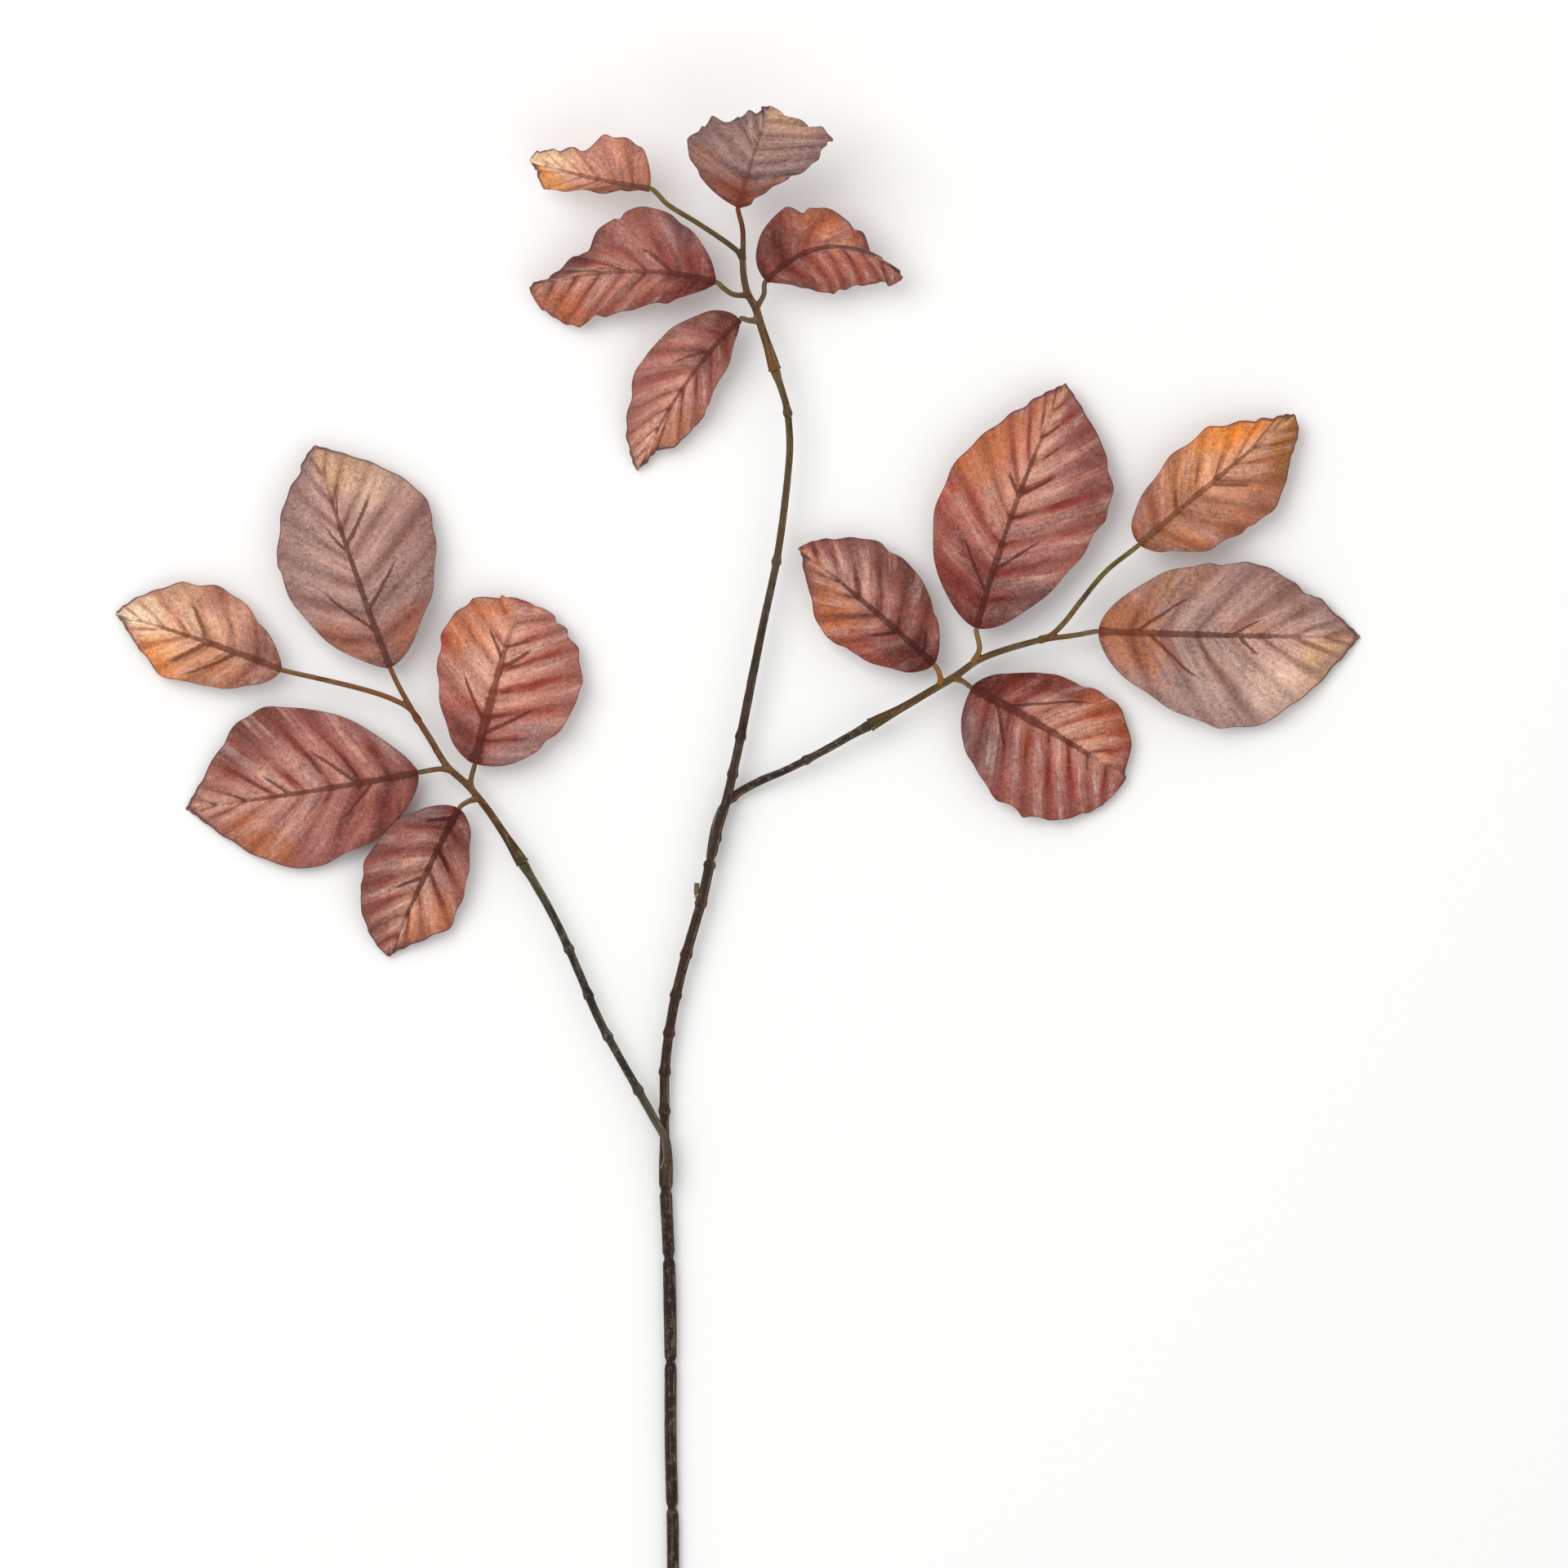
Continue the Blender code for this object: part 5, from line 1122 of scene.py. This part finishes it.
stems = {
    "main_stem": {
        "points": [
            (0.0, -125.0, 2.402, 2.6), (0.0, -50.0, 2.402, 2.6), (0.0, 14.0, 2.42, 2.6),
            (-0.4, 30.0, 2.5, 2.6), (-1.0, 56.0, 2.7, 2.6), (-1.0, 88.0, 3.0, 2.6),
            (-1.3, 114.0, 3.3, 2.8), (-2.0, 140.0, 3.6, 2.6), (-2.9, 158.0, 3.9, 2.7),
            (-3.0, 165.0, 4.1, 3.0), (-3.0, 176.0, 4.3, 2.9), (-3.5, 184.0, 4.6, 2.1),
            (-3.6, 200.0, 5.0, 2.1), (-3.5, 212.0, 5.4, 2.1), (-1.9, 227.5, 5.9, 2.1),
            (1.2, 245.0, 6.4, 2.1), (6.0, 264.0, 6.9, 2.15), (12.6, 287.0, 7.5, 2.15),
            (15.7, 301.0, 8.0, 2.2), (19.4, 317.6, 8.5, 2.1), (22.7, 328.0, 8.7, 2.0),
            (26.2, 343.0, 9.0, 1.9), (29.9, 360.5, 9.5, 1.9), (34.0, 381.5, 10.1, 1.85),
            (39.0, 406.0, 10.9, 1.7), (44.5, 432.0, 11.8, 1.6), (47.8, 455.0, 12.6, 1.55),
            (49.9, 476.0, 13.3, 1.5), (50.0, 485.0, 13.6, 1.5), (48.8, 497.0, 14.0, 1.5),
            (46.5, 505.0, 14.3, 1.5), (43.8, 513.0, 14.6, 1.65), (41.3, 521.5, 15.0, 1.7),
            (37.8, 532.0, 15.8, 1.75), (35.4, 539.7, 16.5, 1.7), (32.0, 546.0, 17.2, 1.55),
            (30.4, 553.0, 18.1, 1.45), (29.8, 562.0, 19.4, 1.35)],
        "mouth": (43.8, 513.0), "slot": "main_stem_plastic",
        "strands": [
            {"shade": (112, 96, 76), "points": [
                (10.9, 286.0, 7.8, 0.7), (10.2, 289.4, 8.0, 1.15), (10.3, 293.6, 8.2, 1.1)]},
            {"shade": (206, 168, 140), "points": [
                (9.3, 287.2, 8.9, 0.3), (10.2, 288.3, 9.2, 0.4), (11.0, 289.0, 9.3, 0.3)]},
            {"shade": (176, 162, 138), "points": [
                (19.3, 325.5, 7.2, 0.3), (17.9, 320.2, 7.0, 0.4), (16.7, 313.6, 6.6, 0.35)]}],
        "rings": [195, 212, 228.5, 244.6, 262, 284.5, 301, 312, 339.5, 355.6, 430.5, 494],
        "pinches": [25.5, 88.0, 132.5, 161.5, 304.0],
        "tones": [(-125, (54, 38, 28)), (120, (42, 30, 22)), (180, (54, 36, 24)),
                  (264, (58, 38, 26)), (330, (58, 42, 30)), (400, (68, 54, 40)),
                  (430, (86, 66, 46)), (490, (92, 74, 46)), (513, (104, 84, 54))],
        "bore": 1.0, "boreDepth": 4.0,
    },
    "left_side_stem": {
        "points": [
            (-2.6, 164.0, 8.0, 1.5), (-2.2, 170.0, 8.2, 1.8), (-2.0, 177.0, 8.5, 1.8),
            (-3.2, 184.0, 9.0, 1.75), (-7.9, 192.5, 9.5, 1.75), (-13.8, 203.0, 9.6, 1.8),
            (-22.9, 219.0, 9.4, 1.75), (-31.8, 235.5, 9.2, 1.8), (-39.4, 253.4, 9.1, 1.75),
            (-46.4, 269.5, 9.2, 1.75), (-53.4, 283.5, 9.4, 1.75), (-58.6, 292.6, 9.6, 1.75),
            (-64.3, 302.0, 9.9, 1.75), (-70.2, 311.5, 10.1, 1.7), (-78.4, 323.8, 10.3, 1.6),
            (-83.0, 329.8, 10.5, 1.55), (-88.2, 335.8, 10.7, 1.5), (-96.6, 343.6, 11.0, 1.45),
            (-103.7, 354.9, 11.3, 1.4), (-111.0, 366.5, 11.7, 1.3)],
        "mouth": (-64.3, 302.0), "slot": "left_stem_plastic",
        "rings": [204, 227.2, 245, 264.6], "pinches": [],
        "strands": [
            {"shade": (168, 150, 128), "points": [
                (-4.6, 182.5, 8.3, 0.25), (-4.1, 179.6, 7.8, 0.32), (-3.75, 177.3, 7.4, 0.34),
                (-3.9, 175.0, 7.0, 0.36), (-4.5, 172.9, 6.6, 0.38), (-5.2, 171.4, 6.1, 0.38)]}],
        "tones": [(164, (56, 40, 28)), (190, (88, 78, 64)), (206, (66, 58, 44)),
                  (219, (50, 44, 36)), (280, (48, 44, 34)), (302, (78, 74, 46))],
    },
    "right_side_stem": {
        "points": [
            (15.6, 303.0, 4.4, 1.4), (16.5, 309.0, 4.3, 1.75), (18.3, 318.0, 4.3, 1.75),
            (21.0, 325.2, 4.2, 1.75), (26.6, 331.2, 4.3, 1.75), (37.1, 337.2, 5.6, 1.75),
            (47.6, 341.6, 7.0, 1.6), (61.6, 348.6, 8.6, 1.65), (75.6, 356.4, 9.6, 1.75),
            (84.3, 361.2, 10.1, 1.8), (98.0, 368.6, 10.6, 1.7), (112.7, 377.2, 11.0, 1.6),
            (121.0, 382.2, 11.3, 1.6), (130.5, 388.8, 11.6, 1.45), (142.0, 393.4, 12.0, 1.4),
            (159.0, 398.2, 12.6, 1.3)],
        "mouth": (84.3, 361.2), "slot": "right_stem_plastic",
        "rings": [330, 346], "pinches": [], "strands": [],
        "tones": [(303, (44, 36, 26)), (326, (50, 38, 28)), (330, (96, 52, 34)),
                  (334, (54, 40, 32)), (350, (54, 44, 34)), (361, (60, 52, 32))],
    },
}
skinForm = {
    "inSleeve": 1.6, "tuck": 0.35, "tuckStart": 0.1, "ringHeight": 0.6, "ringAbove": 2.2,
    "ringBelow": 0.9, "pinchDepth": 0.75, "pinchReach": 1.5, "flare": 0.5, "flareLength": 4.0,
    "step": 0.5, "sides": 24, "barkHeight": 0.28, "barkScale": 260.0, "restHeight": 0.02,
    "strandStep": 0.3, "strandSides": 16,
}


def nearestPlace(places, samples, spot):
    return places[np.argmin(np.hypot(samples[:, 0] - spot[0], samples[:, 1] - spot[1]))]


def heightPlace(places, samples, height):
    return places[np.argmax(samples[:, 1] >= height)]


def skinChain(stem):
    places, samples = smoothLine(stem["points"], skinForm["step"])
    mouth = nearestPlace(places, samples, stem["mouth"])
    radius = samples[:, 3].copy()
    for height in stem["rings"]:
        middle = heightPlace(places, samples, height)
        reach = np.where(places > middle, skinForm["ringAbove"], skinForm["ringBelow"])
        radius += skinForm["ringHeight"] * hump(places, middle, reach)
    for height in stem["pinches"]:
        middle = heightPlace(places, samples, height)
        radius -= skinForm["pinchDepth"] * hump(places, middle, skinForm["pinchReach"])
    radius += skinForm["flare"] * hump(places, mouth, skinForm["flareLength"])
    radius -= np.where(places > mouth - skinForm["tuckStart"], skinForm["tuck"], 0.0)
    kept = places <= mouth + skinForm["inSleeve"]
    return samples[kept, :3], radius[kept], shadesAlong(samples[kept, 1], stem["tones"])


def openBore(mesh, stem):
    # Opens the cut end of a stem, so that the wire shows in its bore.
    x, y, z = stem["points"][0][:3]
    points = np.array([(x, y - 1.0, z), (x, y + stem["boreDepth"], z)])
    chain = (points, np.full(2, stem["bore"]), None)
    cutter = linked("bore", tubesOf([chain], mesh.materials[0], skinForm["sides"]))
    body = linked("skin", mesh)
    cut = body.modifiers.new("bore", "BOOLEAN")
    cut.operation, cut.solver, cut.object = "DIFFERENCE", "EXACT", cutter
    opened = baked(body)
    bpy.data.objects.remove(cutter)
    return opened


def joinedMeshes(first, second):
    shape = bmesh.new()
    shape.from_mesh(first)
    shape.from_mesh(second)
    shape.to_mesh(first)
    shape.free()
    return first


def restOnFloor(mesh):
    # A stem that lies on the surface is pressed flat there.
    for vertex in mesh.vertices:
        vertex.co.z = max(vertex.co.z, skinForm["restHeight"] * mm)


for name, stem in stems.items():
    finish = mouldedPlastic(name + "_plastic", stemLook)
    chains = [skinChain(stem)]
    mesh = tubesOf(chains, finish, skinForm["sides"], skinForm["barkHeight"],
                   skinForm["barkScale"])
    if "bore" in stem:
        mesh = openBore(mesh, stem)
    for strand in stem["strands"]:
        places, samples = smoothLine(strand["points"], skinForm["strandStep"])
        shades = np.tile(colour(*strand["shade"]), (len(places), 1))
        chains.append((samples[:, :3], samples[:, 3], shades))
        mesh = joinedMeshes(mesh, tubesOf(chains[-1:], finish, skinForm["strandSides"]))
    restOnFloor(mesh)
    addPiece(name + "_skin", placeOnChains(mesh, chains), name, 60)
print("stem skins are made")

# Twigs: a sleeve over the end of each stem, a trunk and a stalk for each leaf, moulded in one.

twigForm = {
    "sleeveSwell": 0.95, "sleeveLength": 10.0, "lip": 0.25, "lipLength": 1.2,
    "stalkAtTwig": 1.2, "stalkAtLeaf": 1.08, "plug": 0.8, "rootFlare": 0.5, "rootLength": 2.4,
    "dock": 1.2, "underLeaf": 2.4, "step": 0.4, "sides": 16, "voxel": 0.28, "softness": 0.5,
    "softenings": 4, "barkHeight": 0.16, "barkScale": 330.0, "aimAt": 0.02,
}
twigs = {
    "top_twig": {
        "stem": "main_stem", "slot": "top_twig_plastic",
        "tones": [(0, (120, 78, 34)), (14, (108, 76, 42)), (28, (92, 68, 42)),
                  (60, (88, 72, 54))],
        "stalks": {
            "leaf_top_1": [(29.9, 561.0, 19.3), (27.6, 564.0, 19.8), (19.6, 570.0, 21.4),
                           (9.8, 576.4, 23.4), (-2.0, 583.7, 25.2)],
            "leaf_top_2": [(29.8, 560.6, 19.2), (30.1, 566.0, 20.0), (29.8, 574.0, 21.6)],
            "leaf_top_3": [(35.2, 538.8, 16.4), (38.9, 545.2, 18.2)],
            "leaf_top_4": [(32.8, 545.2, 17.2), (26.2, 545.4, 18.0), (21.6, 548.2, 19.0)],
            "leaf_top_5": [(36.2, 534.4, 16.2), (32.4, 534.4, 16.6)]},
        "stalkTones": {"leaf_top_1": ((74, 56, 36), (122, 100, 44)),
                       "leaf_top_2": ((84, 66, 46), (132, 52, 30)),
                       "leaf_top_3": ((86, 60, 36), (110, 96, 76)),
                       "leaf_top_4": ((92, 54, 36), (120, 94, 50)),
                       "leaf_top_5": ((104, 84, 54), (112, 98, 72))},
    },
    "left_twig": {
        "stem": "left_side_stem", "slot": "left_twig_plastic",
        "tones": [(0, (68, 62, 28)), (8, (72, 54, 30)), (18, (84, 54, 30)),
                  (32, (98, 60, 30)), (90, (110, 70, 38))],
        "stalks": {
            "leaf_left_1": [(-109.4, 363.8, 11.6), (-112.4, 369.0, 11.9), (-117.4, 378.0, 12.6)],
            "leaf_left_2": [(-108.6, 362.8, 11.6), (-112.4, 368.0, 11.8), (-118.4, 371.6, 11.9),
                            (-128.0, 375.2, 12.0), (-143.2, 379.2, 12.0)],
            "leaf_left_3": [(-86.6, 333.6, 10.6), (-86.4, 338.0, 10.8)],
            "leaf_left_4": [(-95.4, 342.2, 11.0), (-100.4, 342.4, 11.2)],
            "leaf_left_5": [(-83.6, 330.0, 10.4), (-88.2, 328.2, 11.0)]},
        "stalkTones": {"leaf_left_1": ((118, 64, 30), (126, 76, 34)),
                       "leaf_left_2": ((134, 70, 44), (124, 84, 46))},
    },
    "right_twig": {
        "stem": "right_side_stem", "slot": "right_twig_plastic",
        "tones": [(0, (76, 58, 28)), (12, (82, 58, 30)), (40, (94, 64, 34)),
                  (80, (94, 74, 42))],
        "stalks": {
            "leaf_right_1": [(114.8, 378.4, 11.0), (114.2, 383.0, 11.8)],
            "leaf_right_2": [(129.2, 388.6, 11.6), (131.3, 394.2, 12.0)],
            "leaf_right_3": [(157.2, 397.8, 12.5), (162.0, 399.8, 12.7), (168.0, 405.6, 13.0),
                             (174.2, 413.6, 13.2), (185.4, 427.0, 13.6)],
            "leaf_right_4": [(157.0, 397.6, 12.5), (164.0, 398.6, 12.7), (173.0, 399.8, 12.9)],
            "leaf_right_5": [(120.0, 381.6, 11.2), (124.4, 379.8, 11.6)]},
        "stalkTones": {"leaf_right_1": ((150, 96, 42), (150, 92, 40)),
                       "leaf_right_2": ((136, 92, 42), (130, 106, 54)),
                       "leaf_right_3": ((108, 78, 38), (108, 96, 46))},
    },
}
plainStalk = ((112, 74, 38), (110, 92, 60))


def stalkChain(leafName, points, tones):
    # A stalk meets its leaf's rib and ends in a thinner plug under the blade.
    leaf = leaves[leafName]
    base = np.array(leaf["base"])
    heading = unit(ribPoints(leaf, np.array([twigForm["aimAt"]]))[0] - base)
    dock = twigForm["dock"] * unit(heading + unit(base - points[-1]))
    sunk = up * (leafForm["thickness"] / 2 + backRibs["middleAtBase"] * backRibs["sunk"])
    route = [*points, base - dock - sunk / 2, base + heading * twigForm["underLeaf"] - sunk]
    places, samples = smoothLine(route, twigForm["step"])
    length = places[-1]
    radius = np.interp(places, [0, length - twigForm["underLeaf"] - twigForm["dock"], length],
                       [twigForm["stalkAtTwig"], twigForm["stalkAtLeaf"], twigForm["plug"]])
    radius = radius + twigForm["rootFlare"] * hump(places, 0, twigForm["rootLength"])
    return samples, radius, shadesAlong(places / length, ((0, tones[0]), (1, tones[1])))


def trunkChain(twig):
    stem = stems[twig["stem"]]
    places, samples = smoothLine(stem["points"], twigForm["step"])
    mouth = nearestPlace(places, samples, stem["mouth"])
    kept = places >= mouth
    off = places[kept] - mouth
    radius = samples[kept, 3] + twigForm["sleeveSwell"] * hump(off, 0, twigForm["sleeveLength"])
    radius = radius + np.where(off < twigForm["lipLength"], twigForm["lip"], 0.0)
    return samples[kept, :3], radius, shadesAlong(off, twig["tones"])


def mouldTogether(mesh, chains, finish):
    # Melts overlapping tubes into one skin.
    source = linked("mould", mesh)
    melt = source.modifiers.new("melt", "REMESH")
    melt.mode = "VOXEL"
    melt.voxel_size = twigForm["voxel"] * mm
    soften = source.modifiers.new("soften", "SMOOTH")
    soften.factor, soften.iterations = twigForm["softness"], twigForm["softenings"]
    joined = baked(source)
    joined.materials.clear()
    joined.materials.append(finish)
    joined.shade_smooth()
    return placeOnChains(joined, chains)


for name, twig in twigs.items():
    finish = mouldedPlastic(name + "_plastic", twigLook)
    chains = [trunkChain(twig)]
    for leafName, points in twig["stalks"].items():
        chains.append(stalkChain(leafName, points, twig["stalkTones"].get(leafName, plainStalk)))
    rough = tubesOf(chains, finish, twigForm["sides"], twigForm["barkHeight"],
                    twigForm["barkScale"])
    addPiece(name + "_moulding", mouldTogether(rough, chains, finish), name)
print("twigs are made")

# Wires: the frame's own nodes, in brushed steel.

steelLook = {"grain": (5000.0, 300.0, 5000.0), "dark": (120, 118, 116),
             "light": (190, 188, 184), "roughness": 0.28, "unevenRoughness": 0.2}


def brushedSteel(name):
    finish, graph = newFinish(name)
    stretched = graph.node("ShaderNodeMapping", inputs={
        "Vector": graph.spot(), "Scale": steelLook["grain"]})
    lines = graph.noise(stretched, 1.0)
    closeFinish(graph, {
        "Base Color": graph.blended(colour(*steelLook["dark"]), steelLook["light"], lines),
        "Metallic": 1.0,
        "Roughness": lines * steelLook["unevenRoughness"] + steelLook["roughness"]})
    return finish


for name in ("main_wire", "left_wire", "right_wire"):
    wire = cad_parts[name]
    steel = brushedSteel(name + "_steel")
    for holder in wire.material_slots:
        holder.link = "OBJECT"
        holder.material = steel
print("wires are finished")

# Floor, light and camera. A lamp is its power, its size and its place, and looks at the origin.

stage = {"floorHalf": 6.0, "floorShade": (252, 252, 251), "floorTooth": (254, 254, 253),
         "toothScale": 900.0, "roughness": 0.95, "specular": 0.1, "worldLight": 0.62}
lamps = {"key": (41.0, 2.2, (-1.3, 1.1, 2.4)), "fill": (13.0, 3.0, (1.6, -1.4, 2.2))}
view = {"lens": 600.0, "sensor": 36.0, "centre": (0.0199, 0.0857), "height": 11.2,
        "farthest": 50.0}


def paperFloor():
    half = stage["floorHalf"]
    mesh = bpy.data.meshes.new("floor")
    mesh.from_pydata([(-half, -half, 0), (half, -half, 0), (half, half, 0), (-half, half, 0)],
                     [], [(0, 1, 2, 3)])
    finish, graph = newFinish("floor_paper")
    tooth = graph.noise(graph.spot(), stage["toothScale"])
    closeFinish(graph, {
        "Base Color": graph.blended(colour(*stage["floorShade"]), stage["floorTooth"], tooth),
        "Roughness": stage["roughness"], "Specular IOR Level": stage["specular"]})
    mesh.materials.append(finish)
    return linked("floor", mesh)


def addLight(name, power, size, place):
    lamp = bpy.data.lights.new(name, "AREA")
    lamp.energy, lamp.size = power, size
    holder = linked(name, lamp)
    holder.location = place
    x, y, z = place
    holder.rotation_euler = (math.atan2(math.hypot(x, y), z), 0, math.atan2(x, -y))
    holder.visible_camera = False


floor = paperFloor()
for name, lamp in lamps.items():
    addLight(name, *lamp)
world = bpy.data.worlds.new("studio")
world.use_nodes = True
backdrop = world.node_tree.nodes["Background"]
backdrop.inputs["Color"].default_value = (1.0, 1.0, 1.0, 1.0)
backdrop.inputs["Strength"].default_value = stage["worldLight"]
bpy.context.scene.world = world
bpy.context.scene.view_settings.view_transform = "Standard"

lens = bpy.data.cameras.new("camera")
lens.lens, lens.sensor_width = view["lens"], view["sensor"]
lens.clip_end = view["farthest"]
camera = linked("camera", lens)
camera.location = (*view["centre"], view["height"])
bpy.context.scene.camera = camera
print("floor, light and camera are set")
